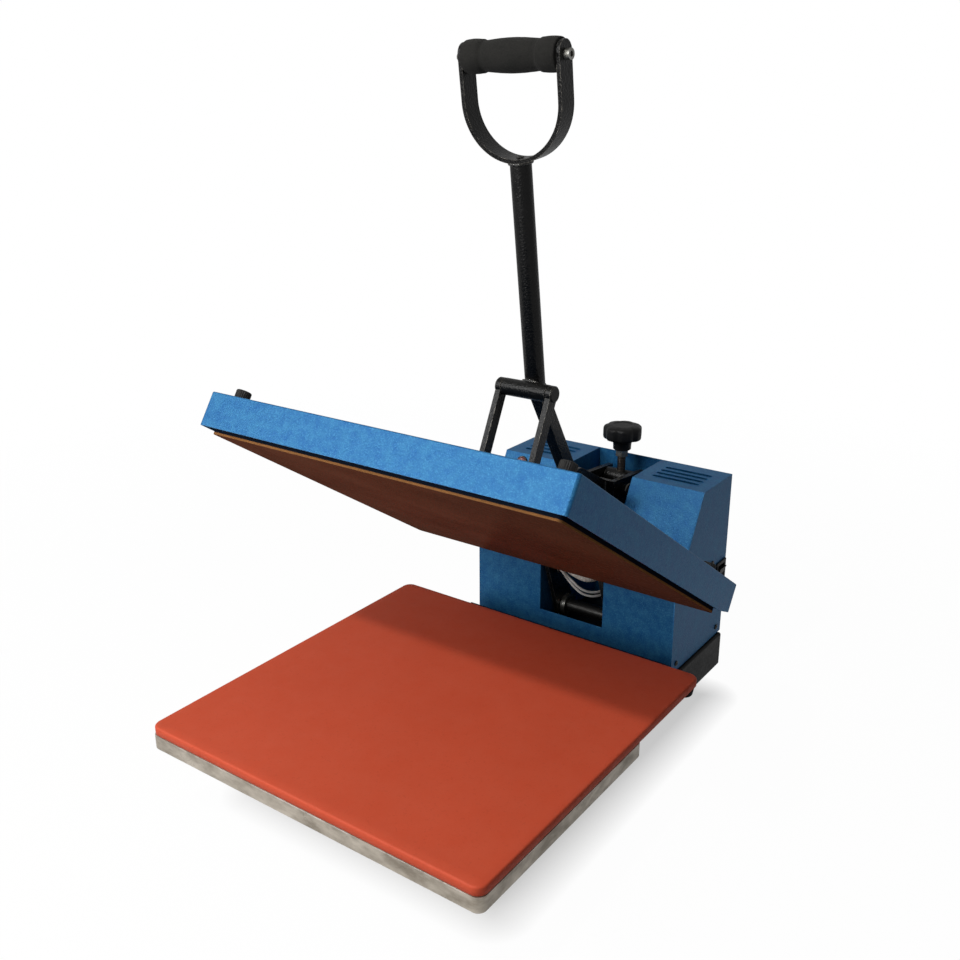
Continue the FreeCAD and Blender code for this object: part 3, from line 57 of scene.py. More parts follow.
machine = {"shiftY": -97.0, "shiftZ": 103.4, "open": 33.48, "hingeY": 295.1, "hingeZ": -25.4,
           "leverFoot": (0, 169.79, 278.67), "leverLean": 8.04}
towerSlope = {"topY": 309.8, "topZ": 147.7, "run": 57.6, "fall": 106.1, "long": 120.73, "tilt": 61.5}


def at(x, y, z):
    return Vector((x, y + machine["shiftY"], z + machine["shiftZ"])) / 1000


def shift(x, y, z):
    return Matrix.Translation((x, y, z))


def spin(degrees, axis):
    return Matrix.Rotation(radians(degrees), 4, axis)


openAngle = radians(machine["open"])
hingeLine = at(0, machine["hingeY"], machine["hingeZ"])
openTurn = shift(*hingeLine) @ spin(-machine["open"], "X") @ shift(*-hingeLine)
leverSeat = shift(*at(*machine["leverFoot"])) @ spin(machine["leverLean"], "X")
mm = Matrix.Scale(0.001, 4)                     # shapes below are drawn in millimetres
sideways = spin(90, "Y")                        # local Z along the machine's X


def seatAt(x, y, z, turn=None):                 # a seat for a shape drawn in millimetres
    seat = shift(*at(x, y, z)) @ mm
    return seat @ turn if turn else seat


def slopeSeat(x, down):                         # on a tower's slanted front, face up
    w = towerSlope
    share = down / w["long"]
    return seatAt(x, w["topY"] - w["run"] * share, w["topZ"] - w["fall"] * share, spin(w["tilt"], "X"))


# shader shorthand

def tint(red, green, blue):                     # screen values 0-255 to linear
    out = []
    for v in (red / 255, green / 255, blue / 255):
        out.append(v / 12.92 if v <= 0.04045 else ((v + 0.055) / 1.055) ** 2.4)
    return (*out, 1.0)


def plug(tree, value, socket):                  # a link or a plain value, whichever it is
    if isinstance(value, bpy.types.NodeSocket):
        tree.links.new(value, socket)
    else:
        socket.default_value = value


def addNode(tree, kind, inputs=None, **settings):
    made = tree.nodes.new(kind if "Node" in kind else "ShaderNode" + kind)
    for key, value in settings.items():
        setattr(made, key, value)
    for key, value in (inputs or {}).items():
        plug(tree, value, made.inputs[key])
    return made


def maths(tree, operation, a, b=0.0, clamp=False):
    return addNode(tree, "Math", {0: a, 1: b}, operation=operation, use_clamp=clamp).outputs[0]


def product(tree, first, *others):
    for other in others:
        first = maths(tree, "MULTIPLY", first, other)
    return first


def vectors(tree, operation, a, b=None):        # the vector that comes out, or the number where it is one
    made = addNode(tree, "VectorMath", {0: a} if b is None else {0: a, 1: b}, operation=operation)
    return made.outputs["Value" if operation in ("DOT_PRODUCT", "LENGTH") else "Vector"]


def noiseField(tree, vector, scale, **extra):
    return addNode(tree, "TexNoise", {"Vector": vector, "Scale": scale, **extra})


def remap(tree, value, low, high, toLow=0.0, toHigh=1.0):
    values = {"Value": value, "From Min": low, "From Max": high, "To Min": toLow, "To Max": toHigh}
    return addNode(tree, "MapRange", values).outputs[0]


def mixColour(tree, share, first, second):
    return addNode(tree, "Mix", {0: share, 6: first, 7: second}, data_type="RGBA").outputs[2]


def mixNumber(tree, share, first, second):
    return addNode(tree, "Mix", {0: share, 2: first, 3: second}, data_type="FLOAT").outputs[0]


def startGroup(name, takes, gives):
    group = bpy.data.node_groups.new(name, "ShaderNodeTree")
    for label, value in takes.items():
        kind = "NodeSocketVector" if isinstance(value, tuple) else "NodeSocketFloat"
        socket = group.interface.new_socket(name=label, in_out="INPUT", socket_type=kind)
        socket.default_value = value
    for label in gives:
        group.interface.new_socket(name=label, in_out="OUTPUT", socket_type="NodeSocketFloat")
    enter = group.nodes.new("NodeGroupInput").outputs
    leave = group.nodes.new("NodeGroupOutput").inputs
    return group, enter, leave


def buildGroups():
    groups = {}

    # noise stretched, scaled and cut to a range
    takes = {"Vector": (0, 0, 0), "Stretch": (1, 1, 1), "Scale": 200.0, "Detail": 3.0}
    takes.update({"Low": 0.35, "High": 0.65})
    group, enter, leave = startGroup("surfaceGrain", takes, ["Value"])
    spot = vectors(group, "MULTIPLY", enter["Vector"], enter["Stretch"])
    field = noiseField(group, spot, enter["Scale"], Detail=enter["Detail"], Roughness=0.6)
    group.links.new(remap(group, field.outputs[0], enter["Low"], enter["High"]), leave["Value"])
    groups["grain"] = group

    # shallow dimples with raised rims, as hammer finish and cast skins have
    takes = {"Vector": (0, 0, 0), "Scale": 500.0, "Softness": 0.5, "Drift": 0.4}
    group, enter, leave = startGroup("dimpledSkin", takes, ["Height", "Shade"])
    drift = noiseField(group, enter["Vector"], enter["Scale"], Detail=2.0)
    push = vectors(group, "SUBTRACT", drift.outputs[1], (0.5, 0.5, 0.5))
    size = maths(group, "DIVIDE", enter["Drift"], enter["Scale"])
    moved = addNode(group, "VectorMath", {0: push, "Scale": size}, operation="SCALE")
    spot = vectors(group, "ADD", enter["Vector"], moved.outputs[0])
    values = {"Vector": spot, "Scale": enter["Scale"], "Smoothness": enter["Softness"]}
    cells = addNode(group, "TexVoronoi", values, feature="SMOOTH_F1")
    group.links.new(remap(group, cells.outputs[0], 0.0, 0.75), leave["Height"])
    shade = addNode(group, "SeparateColor", {0: cells.outputs[1]})
    group.links.new(shade.outputs[0], leave["Shade"])
    groups["dimples"] = group

    # paint rubbed thin where surfaces turn a corner
    group, enter, leave = startGroup("edgeWear", {"Width": 0.0012, "Amount": 0.5, "Patch": 60.0}, ["Mask"])
    place = addNode(group, "TexCoord").outputs["Object"]
    eased = addNode(group, "Bevel", {"Radius": enter["Width"]}, samples=4)
    plain = addNode(group, "NewGeometry")
    match = vectors(group, "DOT_PRODUCT", eased.outputs[0], plain.outputs["Normal"])
    turn = maths(group, "SUBTRACT", 1.0, match)
    turn = maths(group, "MULTIPLY", turn, 9.0, clamp=True)
    patch = noiseField(group, place, enter["Patch"], Detail=5.0, Roughness=0.7)
    rubbed = remap(group, patch.outputs[0], 0.42, 0.62)
    mask = maths(group, "MULTIPLY", product(group, turn, rubbed), enter["Amount"], clamp=True)
    group.links.new(mask, leave["Mask"])
    groups["wear"] = group

    # dust that settles on what faces up
    group, enter, leave = startGroup("settledDust", {"Amount": 0.2, "Scale": 40.0}, ["Mask"])
    coords = addNode(group, "TexCoord")
    parts = addNode(group, "SeparateXYZ", {0: coords.outputs["Normal"]})
    up = remap(group, parts.outputs["Z"], 0.55, 1.0)
    patch = noiseField(group, coords.outputs["Object"], enter["Scale"], Detail=6.0, Roughness=0.65)
    lying = remap(group, patch.outputs[0], 0.35, 0.75)
    group.links.new(product(group, up, lying, enter["Amount"]), leave["Mask"])
    groups["dust"] = group

    # hairline scratches: thin level lines of a warped noise, fading in and out
    takes = {"Vector": (0, 0, 0), "Scale": 14.0, "Fineness": 0.004, "Amount": 0.5}
    group, enter, leave = startGroup("hairScratches", takes, ["Mask"])
    field = noiseField(group, enter["Vector"], enter["Scale"], Detail=2.0, Distortion=1.2)
    near = maths(group, "ABSOLUTE", maths(group, "SUBTRACT", field.outputs[0], 0.5))
    line = maths(group, "SUBTRACT", 1.0, maths(group, "DIVIDE", near, enter["Fineness"]), clamp=True)
    fade = noiseField(group, enter["Vector"], 33.0, Detail=1.0)
    fade = remap(group, fade.outputs[0], 0.5, 0.66)
    group.links.new(product(group, line, fade, enter["Amount"]), leave["Mask"])
    groups["scratches"] = group
    return groups


shared = buildGroups()
print("shader groups built:", len(shared))


def placeGroup(tree, kind, **inputs):
    made = tree.nodes.new("ShaderNodeGroup")
    made.node_tree = shared[kind]
    for key, value in inputs.items():
        plug(tree, value, made.inputs[key])
    return made


# finishes: one dictionary each in looks, read by makeFinish

finishHabits = {"softScale": 0.003, "fineTimes": 7, "scratchDepth": 0.00003, "scratchRough": 0.15,
                "dustRough": 0.9, "dustScale": 40.0, "facing": (0.85, 0.5), "awayShade": 0.72,
                "ownShade": 0.8, "recessBlur": 0.0003}


def shaded(colour, share):
    return (*(v * share for v in colour[:3]), 1.0)


def makeFinish(name, look):
    habit = finishHabits
    finish = bpy.data.materials.new(name)
    finish.use_nodes = True
    tree = finish.node_tree
    tree.nodes.clear()
    ending = addNode(tree, "OutputMaterial")
    shader = addNode(tree, "BsdfPrincipled", {
        "IOR": 1.45, "Specular IOR Level": look.get("specular", 0.5),
        "Coat Weight": look.get("coat", 0.0), "Coat Roughness": look.get("coatRough", 0.1),
        "Sheen Weight": look.get("sheen", 0.0), "Subsurface Weight": look.get("soft", 0.0),
        "Subsurface Scale": habit["softScale"], "Specular Tint": look.get("specTint", (1, 1, 1, 1))})
    tree.links.new(shader.outputs[0], ending.inputs["Surface"])
    place = addNode(tree, "TexCoord").outputs["Object"]

    def grain(scale, detail, **limits):
        stretch = look.get("stretch", (1, 1, 1))
        made = placeGroup(tree, "grain", Vector=place, Stretch=stretch, Scale=scale, Detail=detail, **limits)
        return made.outputs[0]

    scale, low, high = look.get("mottle", (30.0, 0.3, 0.7))
    mottle = grain(scale, 5.0, Low=low, High=high)
    base = tint(*look["base"])
    second = tint(*look["second"]) if "second" in look else shaded(base, habit["ownShade"])
    colour = mixColour(tree, mottle, base, second)
    roughLow, roughHigh = look["rough"]
    fine = grain(look.get("fine", scale * habit["fineTimes"]), 3.0)
    blend = maths(tree, "MULTIPLY", maths(tree, "ADD", mottle, fine), 0.5)
    rough = mixNumber(tree, blend, roughLow, roughHigh)
    metal = look.get("metal", 0.0)
    heights = []
    if "fleck" in look:                         # small specks of another tone
        fleckScale, cut, fleckColour, amount = look["fleck"]
        cells = placeGroup(tree, "dimples", Vector=place, Scale=fleckScale, Softness=0.1, Drift=0.2)
        share = product(tree, remap(tree, cells.outputs["Shade"], cut, 1.0), amount)
        colour = mixColour(tree, share, colour, tint(*fleckColour))
    if "dimples" in look:                       # with the colour of their floors in "deep"
        dimpleScale, depth, softness, shade = look["dimples"]
        cells = placeGroup(tree, "dimples", Vector=place, Scale=dimpleScale, Softness=softness, Drift=0.5)
        heights.append((cells.outputs["Height"], depth))
        share = product(tree, cells.outputs["Height"], shade)
        colour = mixColour(tree, share, colour, tint(*look["deep"]))
    if "relief" in look:                        # scale, detail and depth of a noise skin
        reliefScale, detail, depth = look["relief"]
        heights.append((grain(reliefScale, detail, Low=0.2, High=0.8), depth))
    if "scratch" in look:
        scratchScale, fineness, amount, scratchColour = look["scratch"]
        takes = {"Vector": place, "Scale": scratchScale, "Fineness": fineness, "Amount": amount}
        cuts = placeGroup(tree, "scratches", **takes).outputs[0]
        colour = mixColour(tree, cuts, colour, tint(*scratchColour))
        rough = mixNumber(tree, cuts, rough, min(1.0, roughHigh + habit["scratchRough"]))
        heights.append((product(tree, cuts, -1.0), habit["scratchDepth"]))
    if "wear" in look:
        width, amount, patch, wornColour, wornMetal, wornRough = look["wear"]
        worn = placeGroup(tree, "wear", Width=width, Amount=amount, Patch=patch).outputs[0]
        colour = mixColour(tree, worn, colour, tint(*wornColour))
        rough = mixNumber(tree, worn, rough, wornRough)
        if wornMetal != metal:
            metal = mixNumber(tree, worn, metal, wornMetal)
    if "dust" in look:
        amount, dustColour = look["dust"]
        dusty = placeGroup(tree, "dust", Amount=amount, Scale=habit["dustScale"]).outputs[0]
        colour = mixColour(tree, dusty, colour, tint(*dustColour))
        rough = mixNumber(tree, dusty, rough, habit["dustRough"])
    if "facing" in look:                        # another colour for faces turned away from a direction
        direction, away, awayRough = look["facing"]
        away = tint(*away)
        normal = addNode(tree, "TexCoord").outputs["Normal"]
        share = remap(tree, vectors(tree, "DOT_PRODUCT", normal, direction), *habit["facing"])
        tone = mixColour(tree, blend, away, shaded(away, habit["awayShade"]))
        colour = mixColour(tree, share, colour, tone)
        rough = mixNumber(tree, share, rough, awayRough)
    if "recess" in look:                        # painted shade: dark where the plate goes up into its cover, standing in for the shadowed gap under the cover's rim
        direction, level, gapShadeColour = look["recess"]
        depth = vectors(tree, "DOT_PRODUCT", place, direction)
        share = remap(tree, depth, level + habit["recessBlur"], level - habit["recessBlur"])
        colour = mixColour(tree, share, colour, tint(*gapShadeColour))
    plug(tree, colour, shader.inputs["Base Color"])
    plug(tree, rough, shader.inputs["Roughness"])
    plug(tree, metal, shader.inputs["Metallic"])
    normal = None
    for height, depth in heights:
        bump = addNode(tree, "Bump", {"Height": height, "Distance": depth, "Strength": 1.0})
        if normal:
            tree.links.new(normal, bump.inputs["Normal"])
        normal = bump.outputs[0]
    if normal:
        tree.links.new(normal, shader.inputs["Normal"])
    return finish


downOpen = tuple(openTurn.to_3x3() @ Vector((0, 0, -1)))
platenLow = (openTurn @ at(0, 0, 0.5)).dot(Vector(downOpen))           # how far down the hot face lies
unlitPlastic = dict(mottle=(400.0, 0.3, 0.7), rough=(0.12, 0.25), specular=0.6, coat=0.5, coatRough=0.05,
                    relief=(1500.0, 2.0, 0.00002))
looks = {
    "bluePaint": dict(
        base=(23, 88, 143), second=(50, 116, 160), deep=(10, 60, 116), mottle=(95.0, 0.3, 0.7),
        rough=(0.36, 0.5), metal=0.26, specular=0.24, specTint=(0.75, 0.92, 1, 1),
        dimples=(560.0, 0.00012, 0.5, 0.3), fleck=(1300.0, 0.66, (92, 166, 206), 0.3),
        wear=(0.0007, 0.3, 90.0, (84, 128, 160), 0.3, 0.4), dust=(0.04, (120, 130, 138))),
    "padSilicone": dict(
        base=(203, 82, 54), second=(199, 79, 51), mottle=(13.0, 0.3, 0.7), fine=120.0, rough=(0.55, 0.68),
        specular=0.25, soft=0.03, relief=(900.0, 3.0, 0.00005), fleck=(700.0, 0.9, (176, 66, 42), 0.3),
        scratch=(5.0, 0.002, 0.12, (200, 100, 74)), dust=(0.04, (222, 150, 126))),
    "plateAluminium": dict(
        base=(190, 181, 168), second=(136, 127, 114), mottle=(34.0, 0.38, 0.66), stretch=(1, 1, 2.2),
        fine=420.0, rough=(0.34, 0.5), metal=0.55, relief=(900.0, 4.0, 0.00003),
        # the near-white edge tone is rubbed aluminium and also a painted highlight along the plate's edges
        scratch=(26.0, 0.004, 0.6, (92, 86, 78)), wear=(0.0016, 1.0, 40.0, (244, 242, 238), 0.5, 0.3)),
    "frameBlack": dict(
        base=(15, 16, 16), second=(25, 25, 25), deep=(8, 8, 9), mottle=(40.0, 0.35, 0.7),
        rough=(0.38, 0.55), specular=0.12, dimples=(700.0, 0.00008, 0.6, 0.4),
        wear=(0.0008, 0.5, 120.0, (84, 82, 78), 0.6, 0.42), dust=(0.10, (96, 94, 88))),
    "satinBlack": dict(
        base=(10, 10, 10), second=(20, 19, 18), deep=(7, 7, 8), mottle=(60.0, 0.35, 0.7), rough=(0.22, 0.4),
        specular=0.22, coat=0.06, coatRough=0.14, dimples=(520.0, 0.00026, 0.5, 0.5),
        wear=(0.0011, 1.0, 130.0, (132, 128, 120), 0.8, 0.3), dust=(0.05, (100, 98, 92))),
    "footRubber": dict(
        base=(20, 20, 21), second=(30, 29, 28), rough=(0.7, 0.85), specular=0.15,
        relief=(900.0, 3.0, 0.00008), dust=(0.15, (104, 98, 90))),
    "zincSteel": dict(
        base=(160, 160, 156), second=(118, 116, 108), mottle=(160.0, 0.35, 0.65), rough=(0.24, 0.42),
        metal=0.95, relief=(1500.0, 2.0, 0.00002), wear=(0.0004, 0.5, 300.0, (214, 214, 210), 1.0, 0.2)),
    "pinBlack": dict(
        base=(22, 22, 22), second=(38, 37, 36), deep=(10, 10, 10), mottle=(150.0, 0.35, 0.65),
        rough=(0.28, 0.44), metal=0.3, specular=0.2, dimples=(700.0, 0.00006, 0.5, 0.4),
        wear=(0.0008, 0.8, 260.0, (150, 148, 142), 0.9, 0.3)),
    "groundSteel": dict(
        base=(64, 64, 63), second=(34, 33, 32), mottle=(60.0, 0.3, 0.7), stretch=(1, 14, 14),
        rough=(0.34, 0.5), metal=0.9, relief=(800.0, 2.0, 0.00002),
        scratch=(40.0, 0.004, 0.4, (60, 58, 54))),
    "oiledSteel": dict(
        base=(62, 56, 52), second=(40, 36, 34), mottle=(160.0, 0.35, 0.65), rough=(0.3, 0.48), metal=0.8,
        relief=(1500.0, 2.0, 0.00002), wear=(0.0004, 0.4, 300.0, (120, 116, 110), 1.0, 0.3)),
    "springSteel": dict(
        base=(78, 76, 74), second=(122, 118, 110), mottle=(300.0, 0.35, 0.65), rough=(0.24, 0.42),
        metal=0.95, relief=(2500.0, 2.0, 0.00001)),
    "elementSteel": dict(
        base=(92, 84, 76), second=(132, 112, 84), mottle=(70.0, 0.3, 0.7), rough=(0.4, 0.6), metal=0.85,
        relief=(1200.0, 3.0, 0.00003)),
    # the warm brown base is partly the coating's own colour and partly a painted reflection of the red pad
    # below
    "castPlaten": dict(
        base=(110, 74, 56), second=(88, 58, 44), mottle=(9.0, 0.3, 0.7), fine=200.0, rough=(0.2, 0.32),
        metal=0.12, specular=0.0, specTint=(0.6, 0.15, 0.02, 1), relief=(260.0, 3.0, 0.00002),
        scratch=(12.0, 0.003, 0.3, (120, 90, 70)), facing=(downOpen, (158, 110, 66), 0.6),
        # painted shade: a dark navy band at the plate's top, for the shadowed gap under the cover
        recess=(downOpen, platenLow - 0.0021, (22, 28, 40))),
    # painted shade: the wool is a dark brown well below its own tone, standing in for the shaded gap under
    # the cover
    "glassWoolPaintedShade": dict(
        base=(92, 66, 52), second=(58, 48, 52), mottle=(120.0, 0.3, 0.7), stretch=(1, 1, 6),
        rough=(0.85, 0.98), specular=0.1, sheen=0.1, relief=(1400.0, 6.0, 0.0004)),
    "bronze": dict(
        base=(150, 108, 62), second=(176, 132, 80), mottle=(150.0, 0.35, 0.65), rough=(0.3, 0.46),
        metal=1.0, relief=(1600.0, 3.0, 0.00004)),
    "blackPlastic": dict(
        base=(18, 18, 19), second=(27, 27, 27), deep=(10, 10, 11), mottle=(80.0, 0.35, 0.65),
        rough=(0.36, 0.5), specular=0.2, dimples=(1500.0, 0.00005, 0.5, 0.3),
        wear=(0.0006, 0.45, 200.0, (66, 66, 64), 0.0, 0.35), dust=(0.08, (92, 90, 86))),
    "capPlastic": dict(
        base=(26, 26, 27), second=(38, 37, 36), mottle=(120.0, 0.35, 0.65), rough=(0.42, 0.58),
        specular=0.2, relief=(1200.0, 4.0, 0.00006), wear=(0.0006, 0.5, 200.0, (84, 82, 78), 0.0, 0.4),
        dust=(0.12, (100, 96, 92))),
    "displayGlass": dict(
        base=(8, 6, 7), second=(13, 9, 10), mottle=(60.0, 0.3, 0.7), rough=(0.06, 0.14), specular=0.5,
        coat=0.4, coatRough=0.04, scratch=(30.0, 0.002, 0.2, (40, 38, 40))),
    "buttonRubber": dict(
        base=(158, 160, 160), second=(140, 142, 144), mottle=(200.0, 0.35, 0.65), rough=(0.55, 0.7),
        specular=0.35, relief=(2200.0, 3.0, 0.00004), wear=(0.0004, 0.4, 200.0, (184, 184, 182), 0.0, 0.5)),
    "sleeveGlass": dict(
        base=(214, 212, 206), second=(176, 171, 160), mottle=(200.0, 0.35, 0.65), rough=(0.55, 0.75),
        specular=0.3, sheen=0.15, relief=(2400.0, 3.0, 0.00012)),
    "leadSkin": dict(
        base=(214, 214, 212), second=(186, 184, 180), mottle=(90.0, 0.35, 0.65), rough=(0.28, 0.4),
        specular=0.4, relief=(900.0, 2.0, 0.00003)),
    "gripFoam": dict(
        base=(40, 40, 38), second=(50, 49, 47), deep=(20, 20, 20), mottle=(60.0, 0.3, 0.7),
        rough=(0.8, 0.94), specular=0.1, sheen=0.05, dimples=(1500.0, 0.0002, 0.2, 0.6),
        dust=(0.06, (96, 94, 88))),
    "weldBead": dict(
        base=(24, 24, 24), second=(40, 39, 37), deep=(12, 12, 12), rough=(0.2, 0.36), specular=0.35,
        coat=0.15, coatRough=0.12, dimples=(620.0, 0.0002, 0.5, 0.4),
        wear=(0.0012, 1.0, 200.0, (190, 186, 176), 0.9, 0.28)),
    "redLens": dict(base=(104, 14, 12), **unlitPlastic),
    "dimBar": dict(base=(54, 14, 12), **unlitPlastic),
    "markPaint": dict(
        base=(206, 206, 202), second=(188, 188, 184), mottle=(300.0, 0.35, 0.65), rough=(0.45, 0.6),
        relief=(2500.0, 2.0, 0.00001)),
}
finishes = {name: makeFinish(name, look) for name, look in looks.items()}
print("finishes built:", len(finishes))

slotFinish = {
    "red_silicone": "padSilicone", "bare_aluminium": "plateAluminium", "frame_black": "frameBlack",
    "blue_paint": "bluePaint", "satin_black": "satinBlack", "black_rubber": "footRubber",
    "zinc_steel": "zincSteel", "ground_steel": "groundSteel", "spring_steel": "springSteel",
    "element_steel": "elementSteel", "cast_platen": "castPlaten", "glass_wool": "glassWoolPaintedShade",
    "bronze": "bronze", "black_plastic": "blackPlastic", "black_caps": "capPlastic",
    "display_window": "displayGlass", "button_rubber": "buttonRubber", "red_lens": "redLens",
    "white_sleeve": "sleeveGlass", "foam_rubber": "gripFoam"}
slotOf = {row["node"]: row["material_slot"] for row in frame["record"]["subparts"]}
nodeFinish = dict.fromkeys(("link_pins", "yoke_pins", "link_bolts"), "pinBlack")      # darker than their slot


# edges: sheet and bar from the frame gets small rounded corners

edgeHabits = {"smoothUnder": 32, "weld": 0.00001, "flatWithin": 0.3, "bevelOver": 38, "segments": 2}


def angleShading():
    group = bpy.data.node_groups.new("shadeByAngle", "GeometryNodeTree")
    group.interface.new_socket(name="Geometry", in_out="INPUT", socket_type="NodeSocketGeometry")
    group.interface.new_socket(name="Geometry", in_out="OUTPUT", socket_type="NodeSocketGeometry")
    enter = group.nodes.new("NodeGroupInput").outputs[0]
    leave = group.nodes.new("NodeGroupOutput").inputs[0]
    cleared = addNode(group, "GeometryNodeRemoveAttribute", {"Geometry": enter, "Name": "custom_normal"})
    whole = {"Geometry": cleared.outputs[0], "Shade Smooth": True}
    faces = addNode(group, "GeometryNodeSetShadeSmooth", whole)
    angle = addNode(group, "GeometryNodeInputMeshEdgeAngle").outputs[0]
    limit = {0: angle, 1: radians(edgeHabits["smoothUnder"])}
    flat = addNode(group, "FunctionNodeCompare", limit, data_type="FLOAT", operation="LESS_THAN")
    gentle = {"Geometry": faces.outputs[0], "Shade Smooth": flat.outputs[0]}
    edges = addNode(group, "GeometryNodeSetShadeSmooth", gentle, domain="EDGE")
    group.links.new(edges.outputs[0], leave)
    return group


shadeTree = angleShading()


def easeEdges(piece, width):
    weld = piece.modifiers.new("weld", "WELD")
    weld.merge_threshold = edgeHabits["weld"]
    merge = piece.modifiers.new("flatFaces", "DECIMATE")        # slivers between holes would show as lines
    merge.decimate_type = "DISSOLVE"
    merge.angle_limit = radians(edgeHabits["flatWithin"])
    bevel = piece.modifiers.new("easedEdges", "BEVEL")
    bevel.width = width / 1000
    bevel.segments = edgeHabits["segments"]
    bevel.limit_method = "ANGLE"
    bevel.angle_limit = radians(edgeHabits["bevelOver"])
    bevel.use_clamp_overlap = True
    shading = piece.modifiers.new("shading", "NODES")
    shading.node_group = shadeTree
    even = piece.modifiers.new("evenNormals", "WEIGHTED_NORMAL")
    even.keep_sharp = True


easedNodes = {                                  # how far each node's edges are eased, in millimetres
    "platen_cover": 0.9, "front_apron": 0.5, "left_tower_cover": 0.6, "right_tower_cover": 0.6,
    "left_side_panel": 0.5, "right_side_panel": 0.5, "rear_panel": 0.5, "channel_walls": 0.4,
    "lower_platen": 1.1, "heating_platen": 0.4, "platen_arms": 0.8, "toggle_links": 0.9, "lever_arm": 1.2,
    "adjuster_yoke": 0.7, "frame_cross_tubes": 1.2, "front_stop_bar": 1.5, "carrier_plate": 0.5,
    "base_plate": 0.6, "hinge_uprights": 0.6, "thrust_bracket": 0.8, "handle_strap": 0.9,
    "controller_case": 0.3, "switch_frame": 0.4, "shaft_collars": 0.5, "jam_nut": 0.5, "cross_tube": 0.5,
    "trunnion": 0.6, "rubber_feet": 0.8, "set_button": 0.3, "down_button": 0.3, "up_button": 0.3,
    "mains_inlet": 0.4, "relay_on_heat_sink": 0.3}
for name, piece in nodes.items():
    finish = finishes[nodeFinish.get(name, slotFinish[slotOf[name]])]
    for place in piece.material_slots:
        place.material = finish
    if name in easedNodes:
        easeEdges(piece, easedNodes[name])
print("frame solids finished:", len(easedNodes), "with eased edges")


# mesh shorthand

def newPiece(name, form, body, finish, stands=(), sharp=35):
    bmesh.ops.recalc_face_normals(form, faces=form.faces[:])
    mesh = bpy.data.meshes.new(name)
    form.to_mesh(mesh)
    form.free()
    piece = bpy.data.objects.new(name, mesh)
    scene.collection.objects.link(piece)
    mesh.materials.append(finishes[finish])
    mesh.polygons.foreach_set("use_smooth", [True] * len(mesh.polygons))
    mesh.set_sharp_from_angle(angle=radians(sharp))
    if body:
        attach(piece, body)
    if stands:
        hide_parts(*stands)
    return piece


def bridge(form, low, high):                    # faces between two rings, either of which may be one point
    count = max(len(low), len(high))
    for k in range(count):
        corners = [low[k % len(low)], low[(k + 1) % len(low)], high[(k + 1) % len(high)], high[k % len(high)]]
        corners = list(dict.fromkeys(corners))
        if len(corners) > 2:
            form.faces.new(corners)


def skinned(form, rings, ends=True):            # faces along a row of rings, and over both ends
    for low, high in zip(rings, rings[1:]):
        bridge(form, low, high)
    if ends:
        form.faces.new(rings[0][::-1])
        form.faces.new(rings[-1])


def circle(radius, count):
    angles = [2 * pi * k / count for k in range(count)]
    return [(radius * cos(angle), radius * sin(angle)) for angle in angles]


def quarterRound(size, degrees=(30, 60, 90)):   # how far in and how far down a rounded rim's points lie
    angles = [radians(a) for a in degrees]
    return [(size * (1 - cos(a)), size * (1 - sin(a))) for a in angles]


def turned(profile, seat, sides=48, form=None, wobble=None):
    form = form or bmesh.new()
    rings = []
    for radius, height in profile:
        if radius < 1e-6:
            rings.append([form.verts.new(seat @ Vector((0, 0, height)))])
            continue
        ring = []
        for k in range(sides):
            angle = 2 * pi * k / sides
            r = radius * (wobble(angle, radius, height) if wobble else 1.0)
            ring.append(form.verts.new(seat @ Vector((r * cos(angle), r * sin(angle), height))))
        rings.append(ring)
    skinned(form, rings, ends=False)
    return form


def block(size, seat, ease, form=None):
    part = bmesh.new()
    bmesh.ops.create_cube(part, size=1.0)
    bmesh.ops.scale(part, vec=size, verts=part.verts)
    bmesh.ops.bevel(part, geom=part.edges[:], offset=ease, segments=2, profile=0.5, affect="EDGES")
    bmesh.ops.transform(part, matrix=seat, verts=part.verts)
    return joined(form, part)


def prism(outline, z0, z1, seat, form=None):
    part = bmesh.new()
    low = [part.verts.new((x, y, z0)) for x, y in outline]
    high = [part.verts.new((x, y, z1)) for x, y in outline]
    part.faces.new(low[::-1])
    part.faces.new(high)
    bridge(part, low, high)
    bmesh.ops.transform(part, matrix=seat, verts=part.verts)
    return joined(form, part)


def joined(form, part):
    if form is None:
        return part
    mesh = bpy.data.meshes.new("part")
    part.to_mesh(mesh)
    part.free()
    form.from_mesh(mesh)
    bpy.data.meshes.remove(mesh)
    return form


# radius is in metres, or a function of the share along; shape(share, angle) scales it
def swept(points, radius, sides=12, form=None, shape=None, closed=False):
    form = form or bmesh.new()
    count = len(points)
    rings = []
    up = None
    for k, point in enumerate(points):
        ahead = points[min(k + 1, count - 1)] - points[max(k - 1, 0)]
        if closed:
            ahead = points[(k + 1) % count] - points[k - 1]
        ahead.normalize()
        if up is None:
            up = ahead.orthogonal().normalized()
        up = (up - ahead * up.dot(ahead)).normalized()
        side = ahead.cross(up)
        share = k / (count - 1)
        r = radius(share) if callable(radius) else radius
        ring = []
        for j in range(sides):
            angle = 2 * pi * j / sides
            scale = shape(share, angle) if shape else 1.0
            outward = up * cos(angle) + side * sin(angle)
            ring.append(form.verts.new(point + outward * r * scale))
        rings.append(ring)
    skinned(form, rings, ends=not closed)
    if closed:
        bridge(form, rings[-1], rings[0])
    return form


